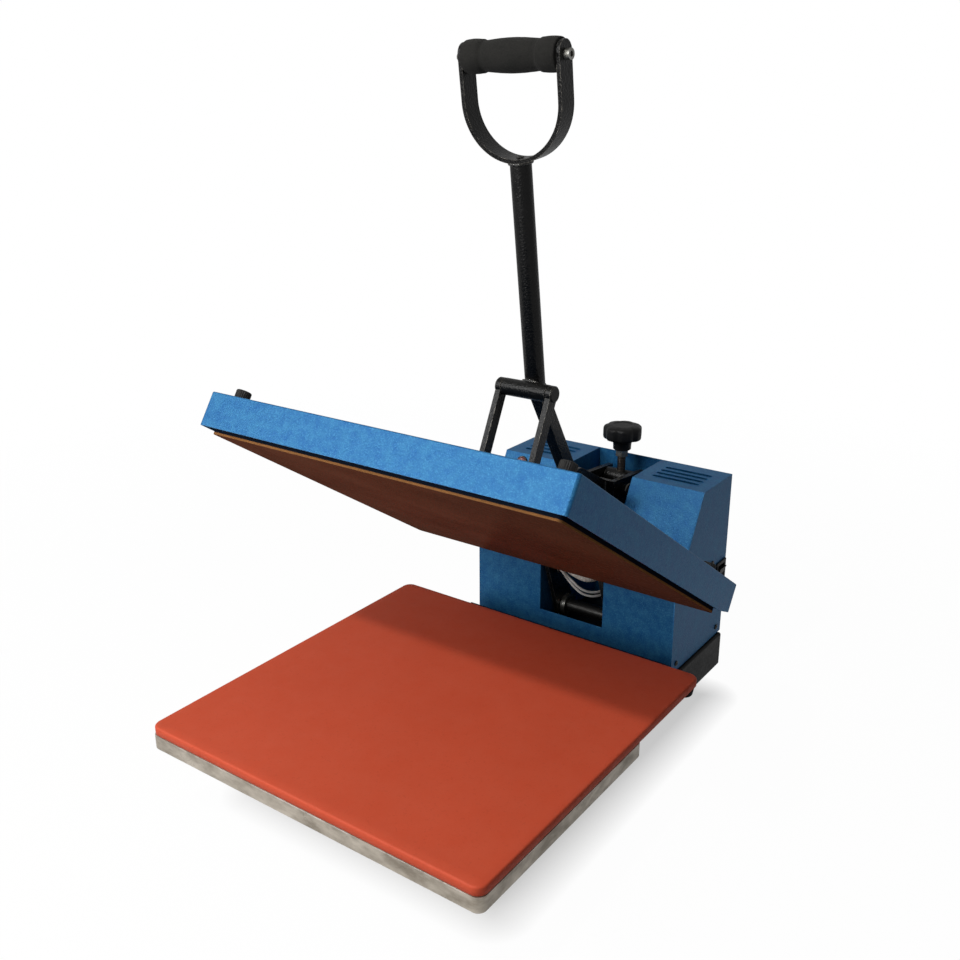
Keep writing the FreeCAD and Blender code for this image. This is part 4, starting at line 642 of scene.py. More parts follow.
def smoothRoute(points, samples):               # points along a NURBS line drawn by a route's control points
    curve = bpy.data.curves.new("route", "CURVE")
    curve.dimensions = "3D"
    curve.resolution_u = samples
    spline = curve.splines.new("NURBS")
    spline.points.add(len(points) - 1)
    for target, point in zip(spline.points, points):
        target.co = (*point, 1.0)
    spline.use_endpoint_u = True
    spline.order_u = 3
    holder = bpy.data.objects.new("route", curve)
    scene.collection.objects.link(holder)
    bpy.context.view_layer.update()
    mesh = bpy.data.meshes.new_from_object(holder)
    line = [v.co.copy() for v in mesh.vertices]
    bpy.data.objects.remove(holder)
    bpy.data.curves.remove(curve)
    bpy.data.meshes.remove(mesh)
    return line


# silicone pad

padShape = {"width": 380.0, "thick": 9.3, "corner": 10.0, "cornerSteps": 8, "edge": 1.9, "foot": 0.6,
            "grid": 12.0, "crown": 0.25, "wave": 0.12, "waveLong": 70, "rim": 0.97}


def makePad():
    w = padShape
    half, corner, edge = w["width"] / 2, w["corner"], w["edge"]
    outline = []
    for cx, cy, start in ((1, 1, 0), (-1, 1, 90), (-1, -1, 180), (1, -1, 270)):
        for step in range(w["cornerSteps"] + 1):
            angle = radians(start + step * 90 / w["cornerSteps"])
            outline.append((cx * (half - corner), cy * (half - corner), cos(angle), sin(angle)))
    form = bmesh.new()
    foot = edge * w["foot"]
    levels = [(foot, -w["thick"]), (0.0, -w["thick"] + foot), (0.0, -edge)]
    levels += [(inward, -down) for inward, down in quarterRound(edge)]
    rings = []
    for inset, z in levels:
        r = corner - inset
        rings.append([form.verts.new((x + c * r, y + s * r, z)) for x, y, c, s in outline])
    skinned(form, rings)
    top = max(form.faces, key=lambda face: face.calc_center_median().z + (len(face.verts) > 8))
    bmesh.ops.triangulate(form, faces=[top])
    for normal in ((1, 0, 0), (0, 1, 0)):       # a loose grid, so that the sheet can lie a little uneven
        for k in range(1, int(2 * half / w["grid"])):
            point = Vector(normal) * (-half + k * w["grid"])
            geometry = form.verts[:] + form.edges[:] + form.faces[:]
            bmesh.ops.bisect_plane(form, geom=geometry, plane_co=point, plane_no=normal)
    for vert in form.verts:
        if vert.co.z > -edge * 0.5:
            x, y = vert.co.x / half, vert.co.y / half
            spot = Vector((vert.co.x / w["waveLong"], vert.co.y / w["waveLong"], 0))
            lift = w["crown"] * (1 - x * x) * (1 - y * y)
            lift -= w["wave"] * (1 + noise.noise(spot))
            atRim = abs(x) > w["rim"] or abs(y) > w["rim"]
            vert.co.z += min(lift, 0.0) if atRim else lift - w["crown"]
    bmesh.ops.transform(form, matrix=seatAt(0, 0, 0), verts=form.verts)
    pad = newPiece("siliconePad", form, "base", "padSilicone", ["silicone_pad"], sharp=60)


makePad()


# foam grip

gripShape = {"height": 309.5, "half": 49.6, "collar": 19.0, "end": 14.9, "neck": 13.2, "belly": 14.9,
             "bore": 3.0, "rim": 1.6, "swell": 0.5, "collarSteps": 8, "bellySteps": 24,
             "lump": (0.006, 5), "pore": (0.003, 1.2)}


def makeGrip():
    g = gripShape
    half, rim, collar = g["half"], g["rim"], g["half"] - g["collar"]
    shoulder = g["end"] - g["swell"]
    left = [(shoulder - down, -half + inward) for inward, down in quarterRound(rim, range(0, 91, 18))]
    for k in range(1, g["collarSteps"]):        # the collar swells a little
        t = k / g["collarSteps"]
        left.append((shoulder + g["swell"] * sin(pi * t), -half + rim + t * (g["collar"] - 2 * rim)))
    left += [(shoulder, -collar - 1.0), (g["neck"] + 0.5, -collar + 0.6), (g["neck"], -collar + 1.8)]
    profile = [(g["bore"], -half)] + left
    for k in range(1, g["bellySteps"]):         # belly between the two necks
        t = k / g["bellySteps"]
        swell = (g["belly"] - g["neck"]) * sin(pi * t)
        profile.append((g["neck"] + swell, (collar - 2) * (2 * t - 1)))
    profile += [(r, -z) for r, z in reversed(left)] + [(g["bore"], half)]
    seat = leverSeat @ mm @ shift(0, 0, g["height"]) @ sideways

    def pores(angle, radius, height):
        if radius < g["neck"] - 1:
            return 1.0
        spot = Vector((cos(angle) * radius, sin(angle) * radius, height))
        (lump, lumpLong), (pore, poreLong) = g["lump"], g["pore"]
        return 1 + lump * noise.noise(spot / lumpLong) - pore * abs(noise.noise(spot / poreLong))

    form = turned(profile, seat, sides=96, wobble=pores)
    grip = newPiece("foamGrip", form, "lever", "gripFoam", ["foam_grip"], sharp=60)


makeGrip()
print("pad and grip done")


# return springs, drawn once at rest between the base and the open platen

springShape = {"lane": 29.5, "wire": 1.1, "coil": 4.0, "pitch": 2.9, "count": 22, "stud": 4.0, "pin": 6.0,
               "low": (250.0, 9.6), "high": (325.0, 124.0), "slack": 0.4, "ahead": 0.5, "pull": 1.11,
               "steps": 5, "stays": 0.16}


def openPoint(y, z):                            # where a point of the closed platen lies at rest
    dy, dz = y - machine["hingeY"], z - machine["hingeZ"]
    return (machine["hingeY"] + dy * cos(openAngle) + dz * sin(openAngle),
            machine["hingeZ"] - dy * sin(openAngle) + dz * cos(openAngle))


def springLine(side):
    s = springShape
    low, high = Vector(openPoint(*s["low"])), Vector(s["high"])
    span = (high - low).length
    way = (high - low) / span
    lowRing = s["stud"] + s["wire"] + s["slack"]
    highRing = s["pin"] + s["wire"] + s["slack"]
    start = (span - s["pitch"] * s["count"]) / 2 + s["ahead"]

    def place(a, b, c):                         # a along the spring, b and c across it
        y = low.x + way.x * a - way.y * b
        z = low.y + way.y * a + way.x * b
        return at(side * (s["lane"] + c), y, z)

    def heading(a, b, c):
        return place(a, b, c) - place(0, 0, 0)

    def hook(middle, ring, angles):
        for t in (radians(degrees) for degrees in angles):
            knots.append((place(middle + ring * cos(t), ring * sin(t), 0), heading(-sin(t), cos(t), 0)))

    knots = []
    hook(0, lowRing, (75, 150, 225, 300))
    coil, climb = s["coil"], s["pitch"] / (2 * pi * s["coil"])
    for quarter in range(4 * s["count"] + 1):
        t = pi / 2 * quarter
        spot = place(start + s["pitch"] * quarter / 4, coil * cos(t), coil * sin(t))
        knots.append((spot, heading(climb, -sin(t), cos(t))))
    hook(span, highRing, (240, 315, 390, 465))
    line = []
    for (p0, t0), (p1, t1) in zip(knots, knots[1:]):            # a smooth curve from knot to knot
        reach = (p1 - p0).length * s["pull"]
        t0, t1 = t0.normalized() * reach, t1.normalized() * reach
        for k in range(s["steps"]):
            t = k / s["steps"]
            line.append(p0 * (2 * t**3 - 3 * t**2 + 1) + t0 * (t**3 - 2 * t**2 + t)
                        + p1 * (-2 * t**3 + 3 * t**2) + t1 * (t**3 - t**2))
    line.append(knots[-1][0])
    return line, at(side * s["lane"], *high), at(side * s["lane"], *low)


def makeSprings():
    for side, label in ((1, "right"), (-1, "left")):
        line, high, low = springLine(side)
        form = swept(line, springShape["wire"] / 1000, sides=10)
        name = label + "ReturnSpring"
        spring = newPiece(name, form, None, "springSteel", ["return_springs"])
        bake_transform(spring)


makeSprings()


# heater sleeve and sensor leads

leadShape = {
    "gland": (-20.0, 211.8, 17.0), "sleeve": 5.4 * 0.96, "lead": 1.5, "bulge": 0.05, "strands": 12,
    "lay": 15.0, "glandHole": 7.4, "apart": 2.4, "rise": 5.0,
    "sleeveRoute": ((-8, 265, 36), (10, 267, 30), (18, 281, 29), (24, 303, 34), (52, 306, 36)),
    "leadRoute": ((-8, 262, 22), (6, 267, 8), (18, 280, 3), (25, 303, 5), (52, 307, 8)),
    "sleeveStays": (14, 274, 30), "leadStays": (10, 272, 6)}


def glandMouth(dx, rise):
    x, y, z = leadShape["gland"]
    return at(x + dx, *openPoint(y, z + rise))


def makeLeads():
    w = leadShape
    outward = Vector((0, cos(openAngle), -sin(openAngle)))
    start = glandMouth(0, 0)
    route = [start, start + outward * 0.012] + [at(*point) for point in w["sleeveRoute"]]
    line = smoothRoute(route, 24)

    def braid(share, angle):                    # strands that cross each other both ways round
        lay, turn = 2 * pi * share * w["lay"], w["strands"] * angle / 2
        return 1 + w["bulge"] * sin(turn + lay) * sin(turn - lay)

    form = swept(line, w["sleeve"] / 1000, sides=48, shape=braid)
    sleeve = newPiece("braidedSleeve", form, None, "sleeveGlass", ["heater_sleeve"], sharp=80)
    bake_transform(sleeve)
    for index in range(2):
        side = 2 * index - 1
        mouth = glandMouth(-side * w["apart"], -sqrt(w["glandHole"] ** 2 - w["apart"] ** 2))
        rise = index * w["rise"]
        route = [mouth, mouth + outward * 0.008] + [at(x, y, z + rise) for x, y, z in w["leadRoute"]]
        form = swept(smoothRoute(route, 16), w["lead"] / 1000, sides=14)
        name = "sensorLead%d" % (index + 1)
        lead = newPiece(name, form, None, "leadSkin", ["sensor_leads"])
        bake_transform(lead)


makeLeads()


# glass wool mat between the hot plate and its cover

matShape = {"half": 185.0, "front": -177.0, "back": 175.0, "low": 16.5, "thick": 11.6, "step": 4.0,
            "levels": 5, "puff": 1.6, "fray": 0.9, "inset": 2.0, "tuft": 6, "layer": 1.7}


def makeMat():
    m = matShape
    half, front, back = m["half"], m["front"], m["back"]
    form = bmesh.new()
    outline = []
    corners = [(half, front), (half, back), (-half, back), (-half, front)]
    for (x0, y0), (x1, y1) in zip(corners, corners[1:] + corners[:1]):
        count = max(2, int(hypot(x1 - x0, y1 - y0) / m["step"]))
        outline += [(x0 + (x1 - x0) * k / count, y0 + (y1 - y0) * k / count) for k in range(count)]
    middle = Vector((0, (front + back) / 2))
    rings = []
    for level in range(m["levels"] + 1):
        share = level / m["levels"]
        puff = m["puff"] * sin(pi * share)
        ring = []
        for x, y in outline:
            spot = Vector((x / m["tuft"], y / m["tuft"], level * m["layer"]))
            reach = puff + m["fray"] * noise.noise(spot) - m["inset"]
            out = (Vector((x, y)) - middle).normalized() * reach
            ring.append(form.verts.new((x + out.x, y + out.y, m["low"] + share * m["thick"])))
        rings.append(ring)
    skinned(form, rings)
    bmesh.ops.transform(form, matrix=openTurn @ seatAt(0, 0, 0), verts=form.verts)
    newPiece("woolMat", form, "upper_platen", "glassWoolPaintedShade", ["insulation_mat"], sharp=70)


makeMat()
print("springs, leads and wool done")


# pressure knob

knobShape = {"y": 361.0, "z": 172.0, "height": 18.0, "radius": 22.8, "lobes": 7, "scallop": 6.5,
             "sides": 168, "ease": 3, "lobedFrom": 12.5, "lobedOver": 7.0, "hubLow": 159.5, "hub": 11.3}


def knobRadius(angle):                          # a round rim with one scallop between each two lobes
    k = knobShape
    reach = k["radius"] + k["scallop"] * 0.7
    pitch = 2 * pi / k["lobes"]
    off = (angle / pitch) % 1.0 - 0.5
    off *= pitch
    edge = k["radius"]
    chord = reach * sin(off)
    if abs(chord) < k["scallop"]:
        edge = min(edge, reach * cos(off) - sqrt(k["scallop"] ** 2 - chord ** 2))
    return edge / k["radius"]


def makeKnob():
    k = knobShape
    sides, ease = k["sides"], range(-k["ease"], k["ease"] + 1)
    softened = []
    for step in range(sides):
        around = [knobRadius(2 * pi * (step + off) / sides) for off in ease]
        softened.append(sum(around) / len(around))

    def lobed(angle, radius, _):
        share = softened[round(angle / (2 * pi) * sides) % sides]
        depth = min(1.0, max(0.0, (radius - k["lobedFrom"]) / k["lobedOver"]))
        return 1 + (share - 1) * depth

    rim, hub, top, low = k["radius"], k["hub"], k["height"], k["hubLow"] - k["z"]
    profile = [(5.0, low), (hub - 1.5, low), (hub - 0.8, low + 0.7), (hub - 0.7, -8.0), (hub - 0.1, -2.4),
               (12.0, -0.9), (14.0, 0.2)]
    profile += [(rim - inward, z) for inward, z in ((3, 0.5), (1.2, 1.1), (0.3, 2.4), (0, 4.2))]
    profile += [(rim - inward, top - down) for inward, down in ((0, 5.8), (0.2, 4.6), (0.8, 3.3), (1.9, 2.3),
                                                                (3.9, 1.4), (8, 0.7))]
    profile += [(r, top - down) for r, down in ((11.5, 0.3), (10.9, 0.5), (10.4, 0.9), (9.6, 1.0),
                                                (5.0, 0.85), (0.0, 0.8))]
    form = turned(profile, seatAt(0, k["y"], k["z"]), sides=sides, wobble=lobed)
    newPiece("lobedKnob", form, "adjuster", "blackPlastic", ["pressure_knob"], sharp=40)


makeKnob()


# threaded pressure screw, with the collars that hold it in its bracket

screwShape = {"rod": 5.0, "depth": 0.32, "pitch": 2.0, "flat": 0.7, "foot": 30.7, "top": 174.0,
              "perTurn": 6, "collars": ((30.7, 35.7, 8.0), (48.3, 55.3, 9.0))}


def makePressureScrew():
    w = screwShape

    def thread(angle, _, height):
        wave = cos(2 * pi * height / w["pitch"] - angle)
        return 1 - w["depth"] / w["rod"] * (0.5 + 0.5 * max(-w["flat"], min(w["flat"], wave)) / w["flat"])

    steps = int((w["top"] - w["foot"]) / w["pitch"] * w["perTurn"])
    profile = [(0.0, 0.0)] + [(w["rod"], k * w["pitch"] / w["perTurn"]) for k in range(steps + 1)]
    form = turned(profile, seatAt(0, knobShape["y"], w["foot"]), sides=24, wobble=thread)
    newPiece("pressureScrew", form, "adjuster", "oiledSteel", ["pressure_screw"], sharp=30)
    form = bmesh.new()
    for low, high, radius in w["collars"]:
        rise, ease = high - low, 0.5
        collar = [(0.0, 0.0), (radius - ease, 0.0), (radius, ease)]
        collar += [(radius, rise - ease), (radius - ease, rise), (0.0, rise)]
        turned(collar, seatAt(0, knobShape["y"], low), sides=48, form=form)
    newPiece("screwCollars", form, "adjuster", "zincSteel", sharp=30)


makePressureScrew()


# screws and nuts

def hexShare(angle):                            # how far a hexagon lies inside its corner circle
    return cos(radians(30)) / cos((angle % radians(60)) - radians(30))


def socketHead(seat, radius, height, socket, depth, ease=0.6, ribs=0, form=None):
    profile = [(0.0, 0.0), (radius - 0.2, 0.0), (radius, 0.2), (radius, height - ease)]
    profile += [(radius - inward, height - down) for inward, down in quarterRound(ease)]
    profile += [(socket + 0.3, height), (socket, height - 0.3), (socket, height - depth)]
    profile.append((0.0, height - depth * 1.15))

    def outline(angle, r, z):
        if r <= socket + 0.35:
            return hexShare(angle)
        if ribs and r > radius - 0.05 and 0.5 < z < height - ease * 0.5:
            return 1 - 0.03 * (0.5 + 0.5 * cos(ribs * angle))
        return 1.0

    return turned(profile, seat, sides=96 if ribs else 48, form=form, wobble=outline)


handleScrews = {"reach": 53.7, "height": 309.5, "head": (5.0, 5.8, 2.6, 3.0), "ribs": 32, "nut": 5.5,
                "nutTall": 3.2, "dome": 4.5, "rod": 2.95, "strapScrew": (4.0, 0.9, 2.0, 0.8), "strapZ": 222.6}


def makeHandleScrews():
    h = handleScrews
    reach, rod, nut, dome, tall = h["reach"], h["rod"], h["nut"], h["dome"], h["nutTall"]
    middle = leverSeat @ mm @ shift(0, 0, h["height"])
    form = socketHead(middle @ shift(reach, 0, 0) @ sideways, *h["head"], ribs=h["ribs"])
    turned([(0.0, -reach), (rod, -reach), (rod, reach), (0.0, reach)], middle @ sideways, sides=24, form=form)

    def nutShape(angle, radius, _):
        return hexShare(angle) if radius > dome + 0.9 else 1.0

    profile = [(0.0, 0.0), (nut * 0.9, 0.0), (nut, 0.3), (nut, tall - 0.5), (dome + 0.3, tall)]
    profile += [(dome * cos(radians(a)), tall + dome * sin(radians(a))) for a in range(0, 76, 15)]
    profile.append((0.0, tall + dome))
    turned(profile, middle @ shift(-reach, 0, 0) @ sideways.inverted(), form=form, wobble=nutShape)
    newPiece("handleBolt", form, "lever", "zincSteel", ["handle_fasteners"], sharp=30)
    form = socketHead(leverSeat @ mm @ shift(0, 0, h["strapZ"]), *h["strapScrew"], ease=0.4)
    newPiece("strapScrew", form, "lever", "pinBlack", ["handle_fasteners"], sharp=30)


makeHandleScrews()

panelScrews = {"side": ((345.0, 51.0), (264.2, -40.0), (370.0, -40.0)), "wall": 129.6,
               "rear": ((120.0, -40.0), (120.0, 135.7)), "back": 382.5,
               "sideHead": (3.2, 1.4, 1.3, 0.9), "rearHead": (1.55, 2.0, 0.8, 0.8)}


def makePanelScrews():
    w = panelScrews
    form = bmesh.new()
    for side in (1, -1):
        for y, z in w["side"]:
            seat = seatAt(side * w["wall"], y, z, sideways if side > 0 else sideways.inverted())
            socketHead(seat, *w["sideHead"], ease=0.9, form=form)
        for x, z in w["rear"]:
            seat = seatAt(side * x, w["back"], z, spin(-90, "X"))
            socketHead(seat, *w["rearHead"], ease=0.15, form=form)
    newPiece("panelScrews", form, "base", "pinBlack", ["panel_screws"], sharp=30)


makePanelScrews()

capShape = {"x": 176.0, "rows": (-173.3, 163.4), "z": 37.8, "height": 9.7, "radius": 7.5, "ribs": 24,
            "depth": 0.4}


def makeCaps():
    c = capShape
    form = bmesh.new()

    def grooved(angle, radius, height):
        if radius < c["radius"] - 0.5 or not 1.4 < height < c["height"] - 0.9:
            return 1.0
        return 1 - c["depth"] / c["radius"] * (0.5 + 0.5 * cos(c["ribs"] * angle))

    top, rim = c["height"], c["radius"]
    profile = [(0.0, 0.0), (rim, 0.0), (rim, 1.2), (rim - 0.2, 1.4), (rim - 0.2, 1.6)]
    profile += [(rim - inward, top - down) for inward, down in ((0.2, 1.4), (0.3, 1.0), (0.7, 0.35), (1.5, 0),
                                                                (2.6, 0), (3.0, 0.4))]
    profile.append((0.0, top - 0.5))
    for x in (-c["x"], c["x"]):
        for y in c["rows"]:
            turned(profile, openTurn @ seatAt(x, y, c["z"]), sides=96, form=form, wobble=grooved)
    newPiece("coverCaps", form, "upper_platen", "capPlastic", ["cover_cap_screws"], sharp=30)


makeCaps()
print("knob, screws and caps done")


# louvre hoods: pressed up over the slots in the towers' tops, open to the front, and inward at the back

louvreShape = {
    "x": 85.6, "top": {"z": 147.7, "front": 329.0, "pitch": 11.0, "count": 4, "long": 60.0, "rise": 1.7},
    "back": {"y": 382.8, "low": 45.0, "pitch": 12.0, "count": 6, "long": 63.0, "rise": 2.6},
    "reach": 4.6, "lip": 0.4, "skin": 0.6, "sunk": 0.15, "bury": 0.3, "roundness": 9, "grid": (24, 8)}


def louvre(seat, length, rise, form):
    w = louvreShape
    along, across = w["grid"]
    rims = []
    for inner in (0, 1):                        # the outer skin, then the inner one
        rows = []
        for i in range(along + 1):
            u = -1 + 2 * i / along
            ends = sqrt(max(0.0, 1 - abs(u) ** w["roundness"]))
            row = []
            for j in range(across + 1):
                v = j / across
                lift = rise * ends * sin(v * pi / 2) - inner * w["skin"] - w["sunk"]
                lift = max(lift, -w["bury"] - 0.5 * inner)
                out = -w["reach"] + v * (w["reach"] + w["lip"])
                row.append(form.verts.new(seat @ Vector((u * length / 2, out, lift))))
            rows.append(row)
        for low, high in zip(rows, rows[1:]):
            for a, b, c, d in zip(low, low[1:], high[1:], high):
                form.faces.new((a, b, c, d))
        sides = [row[-1] for row in rows[1:-1]], [row[0] for row in rows[-2:0:-1]]
        rims.append(rows[0] + sides[0] + rows[-1][::-1] + sides[1])
    bridge(form, *rims)


def makeLouvres():
    form = bmesh.new()
    top, back = louvreShape["top"], louvreShape["back"]
    inward = spin(90, "X")
    forward = spin(180, "Z")
    for x in (-louvreShape["x"], louvreShape["x"]):
        for k in range(top["count"]):
            seat = seatAt(x, top["front"] + k * top["pitch"], top["z"], forward)
            louvre(seat, top["long"], top["rise"], form)
        for k in range(back["count"]):
            seat = seatAt(x, back["y"], back["low"] + k * back["pitch"], inward)
            louvre(seat, back["long"], back["rise"], form)
    newPiece("louvreHoods", form, "base", "bluePaint", sharp=40)


makeLouvres()


# corrugated dust screens under the top vents

screenShape = {"long": 66.0, "deep": 50.0, "drop": 5.0, "pitch": 3.0, "wave": 0.4, "thick": 0.8, "perWave": 6}


def makeDustScreens():
    w, top = screenShape, louvreShape["top"]
    middle = top["front"] + top["pitch"] * (top["count"] - 1) / 2
    steps = round(w["deep"] / w["pitch"] * w["perWave"])
    outline = []
    for k in range(steps + 1):
        outline.append((w["wave"] * sin(2 * pi * k / w["perWave"]), (k / steps - 0.5) * w["deep"]))
    outline += [(fall + w["thick"], reach) for fall, reach in reversed(outline)]
    form = None
    for x in (-louvreShape["x"], louvreShape["x"]):
        seat = seatAt(x, middle, top["z"] - w["drop"], sideways)
        form = prism(outline, -w["long"] / 2, w["long"] / 2, seat, form=form)
    newPiece("dustScreens", form, "base", "frameBlack", sharp=50)


makeDustScreens()


# weld beads

beadShape = {"step": 0.8, "ripple": 0.16, "lump": 0.12, "pitch": 2.6, "taper": (0.45, 6)}


def bead(points, seat, radius, closed=False, form=None):
    w = beadShape
    line = []
    for a, b in zip(points, points[1:] + (points[:1] if closed else [])):      # even steps along the seam
        a, b = Vector(a), Vector(b)
        steps = max(1, round((b - a).length / w["step"]))
        line += [a.lerp(b, k / steps) for k in range(steps)]
    if not closed:
        line.append(Vector(points[-1]))
    turns = round(len(line) * w["step"] / w["pitch"])
    tip, growth = w["taper"]

    def thick(share):
        ends = 1.0 if closed else min(1.0, tip + growth * min(share, 1 - share))
        lump = w["lump"] * noise.noise(line[0] + Vector((share * turns / 2, 0, 0)))
        return radius / 1000 * ends * (1 + w["ripple"] * sin(2 * pi * turns * share) + lump)

    return swept([seat @ point for point in line], thick, sides=10, form=form, closed=closed)


leverWelds = {"shaft": 10.2, "strapHalf": 9.6, "strapMiddle": 271.7, "strapRadius": 53.7, "tubeBack": -15.8,
              "tube": 8.75, "armHalf": 7.0, "seamTurn": 31.2 - machine["leverLean"], "seamReach": 38.0,
              "ring": 1.7, "front": 2.5, "foot": 2.0, "seam": 1.6}


def makeLeverWelds():
    w = leverWelds
    seat = leverSeat @ mm
    r, tube = w["shaft"] + 0.1, w["tube"] + 0.1
    ring = []
    for k in range(36):                         # shaft to the bottom of the D
        x, y = r * cos(radians(10 * k)), r * sin(radians(10 * k))
        z = w["strapMiddle"] - sqrt(w["strapRadius"] ** 2 - x * x) - 0.5
        ring.append((x, max(-w["strapHalf"], min(w["strapHalf"], y)), z))
    form = bead(ring, seat, w["ring"], closed=True)
    front = []
    for x in range(-8, 9):                      # front of the shaft on the cross tube
        y = -sqrt(r * r - x * x)
        front.append((x, y, sqrt(max(0.0, w["tube"] ** 2 - (y - w["tubeBack"]) ** 2)) + 0.5))
    bead(front, seat, w["front"], form=form)
    for side in (1, -1):                        # shaft's foot on the flanks of the arm
        inner = w["shaft"] - 1.2
        foot = [(side * inner * cos(radians(a)), inner * sin(radians(a)), -0.5) for a in range(-42, 43, 7)]
        bead(foot, seat, w["foot"], form=form)
        seam = []
        for step in range(-6, 7):               # arm on the cross tube
            a = radians(w["seamTurn"] + w["seamReach"] * step / 6)
            seam.append((side * (w["armHalf"] + 0.5), w["tubeBack"] + tube * cos(a), tube * sin(a)))
        bead(seam, seat, w["seam"], form=form)
    newPiece("leverWelds", form, "lever", "weldBead", sharp=50)


makeLeverWelds()

yokeWelds = {"ears": (7.2, 12.8), "earFace": 299.8, "earSpan": (105.0, 139.5), "earBead": 1.4,
             "cheek": 17.8, "cheekFace": 305.2, "cheekSpan": (101.0, 140.0), "cheekBead": 1.5}


def makeYokeWelds():
    w = yokeWelds
    form = bmesh.new()
    seat = seatAt(0, 0, 0)

    def upright(x, y, span, radius):
        bead([(x, y, z) for z in span], seat, radius, form=form)

    for side in (1, -1):
        for x in w["ears"]:                     # ears on the cross plate
            upright(side * x, w["earFace"], w["earSpan"], w["earBead"])
        upright(side * w["cheek"], w["cheekFace"], w["cheekSpan"], w["cheekBead"])      # inside the fork
    newPiece("yokeWelds", form, "yoke", "weldBead", sharp=50)


makeYokeWelds()
print("louvres and welds done")


# controller face, pilot lamp, rocker marks and inlet pins

faceShape = {
    "x": -85.6, "down": 74.0, "glass": 3.0, "windowY": 16.0, "digit": (7.4, 14.0), "bar": 1.25,
    "places": (-17.5, -7.5, 2.5, 15.5), "line": (27.5, 14.5, 3.45), "lineThick": 0.3, "buttonTop": 5.3,
    "buttonRow": -19.0, "buttons": {"set_button": -18.0, "down_button": 0.0, "up_button": 18.0},
    "dot": 1.5, "arrow": (2.3, 1.5, 2.1), "sunk": 0.1, "barProud": 0.06, "markProud": 0.12}


def digitBars(x, y):                            # the seven bars of one digit: middle and size
    wide, tall = faceShape["digit"]
    bar = faceShape["bar"]
    bars = [(x, y + row * tall / 2, (wide - bar * 1.3, bar)) for row in (-1, 0, 1)]
    for side in (-1, 1):
        for row in (-1, 1):
            bars.append((x + side * wide / 2, y + row * tall / 4, (bar, tall / 2 - bar * 1.3)))
    return bars


def makeFace():
    f = faceShape
    seat = slopeSeat(f["x"], f["down"])
    bars = bmesh.new()
    middle, glass, top, row = f["windowY"], f["glass"], f["buttonTop"], f["buttonRow"]
    for place in f["places"]:
        for x, y, (wide, tall) in digitBars(place, middle):
            tip = min(wide, tall) / 2
            w, h = wide / 2, tall / 2
            if wide > tall:
                outline = [(x - w, y), (x - w + tip, y - tip), (x + w - tip, y - tip)]
                outline += [(x + w, y), (x + w - tip, y + tip), (x - w + tip, y + tip)]
            else:
                outline = [(x, y - h), (x + tip, y - h + tip), (x + tip, y + h - tip)]
                outline += [(x, y + h), (x - tip, y + h - tip), (x - tip, y - h + tip)]
            prism(outline, glass - f["sunk"], glass + f["barProud"], seat, form=bars)
    newPiece("displayBars", bars, "base", "dimBar", sharp=20)
    wide, low, high = f["arrow"]
    for button, x in f["buttons"].items():      # a dot on the set button, an arrow on the others
        way = 1 if button == "up_button" else -1
        outline = [(x - wide, row - way * low), (x + wide, row - way * low), (x, row + way * high)]
        if button == "set_button":
            outline = [(x + dx, row + dy) for dx, dy in circle(f["dot"], 16)]
        marks = prism(outline, top - f["sunk"], top + f["markProud"], seat, form=bmesh.new())
        newPiece(button.replace("_b", "B") + "Mark", marks, button, "blackPlastic", sharp=20)
    w, h, z = f["line"]
    loop = [(-w, middle - h), (w, middle - h), (w, middle + h), (-w, middle + h)]
    path = []
    for (x0, y0), (x1, y1) in zip(loop, loop[1:] + loop[:1]):
        for t in (0.02, 0.34, 0.66, 0.98):
            path.append(seat @ Vector((x0 + (x1 - x0) * t, y0 + (y1 - y0) * t, z)))
    frameLine = swept(path, f["lineThick"] / 1000, sides=8, closed=True)
    newPiece("displayLine", frameLine, "base", "markPaint", sharp=60)


makeFace()

lampShape = {"x": -104.0, "down": 11.0, "ring": 7.5, "lens": 6.1, "play": 0.05, "foot": -1.0, "edge": 1.7,
             "dome": 2.4, "steps": 15, "step": 0.12}


def makePilotLamp():
    w = lampShape
    seat = slopeSeat(w["x"], w["down"])
    r, lens, foot, edge = w["ring"], w["lens"], w["foot"], w["edge"]
    ring = [(lens, foot), (r - 1.2, 0.0), (r, 0.0), (r, 0.9), (r - 0.3, 1.5), (r - 0.8, 1.8)]
    ring += [(lens + 0.1, 1.8), (lens, 1.4), (lens, foot)]
    form = turned(ring, seat, sides=64)
    newPiece("lampRing", form, "base", "pinBlack", ["pilot_lamp"], sharp=30)
    lens -= w["play"]
    profile = [(0.0, foot), (lens, foot), (lens, edge)]
    for k in range(1, w["steps"]):              # stepped rings under a shallow dome
        t = k / w["steps"] * pi / 2
        profile.append((lens * cos(t), edge + w["dome"] * sin(t) - (w["step"] if k % 2 else 0.0)))
    profile.append((0.0, edge + w["dome"]))
    form = turned(profile, seat, sides=64)
    newPiece("lampLens", form, "base", "redLens", ["pilot_lamp"], sharp=20)


makePilotLamp()

rockerShape = {"pivot": (124.6, 369.0, 29.0), "tilt": 9.0, "face": 7.25, "mark": 5.7, "lean": 10.0,
               "bar": (4.2, 0.8, 0.5), "barSunk": 0.1, "ring": 2.0, "ringThick": 0.35}


def makeRockerMarks():                          # a bar for on, a ring for off
    w = rockerShape
    pivot = seatAt(*w["pivot"]) @ spin(w["tilt"], "Y")
    form = bmesh.new()
    for way in (1, -1):
        seat = pivot @ shift(w["face"], 0, way * w["mark"]) @ spin(90 + way * w["lean"], "Y")
        if way > 0:
            block(w["bar"], seat @ shift(0, 0, -w["barSunk"]), 0.1, form=form)
        else:
            line = [seat @ Vector((x, y, 0)) for x, y in circle(w["ring"], 40)]
            swept(line, w["ringThick"] / 1000, sides=8, form=form, closed=True)
    newPiece("rockerMarks", form, "power_rocker", "markPaint", sharp=40)


makeRockerMarks()

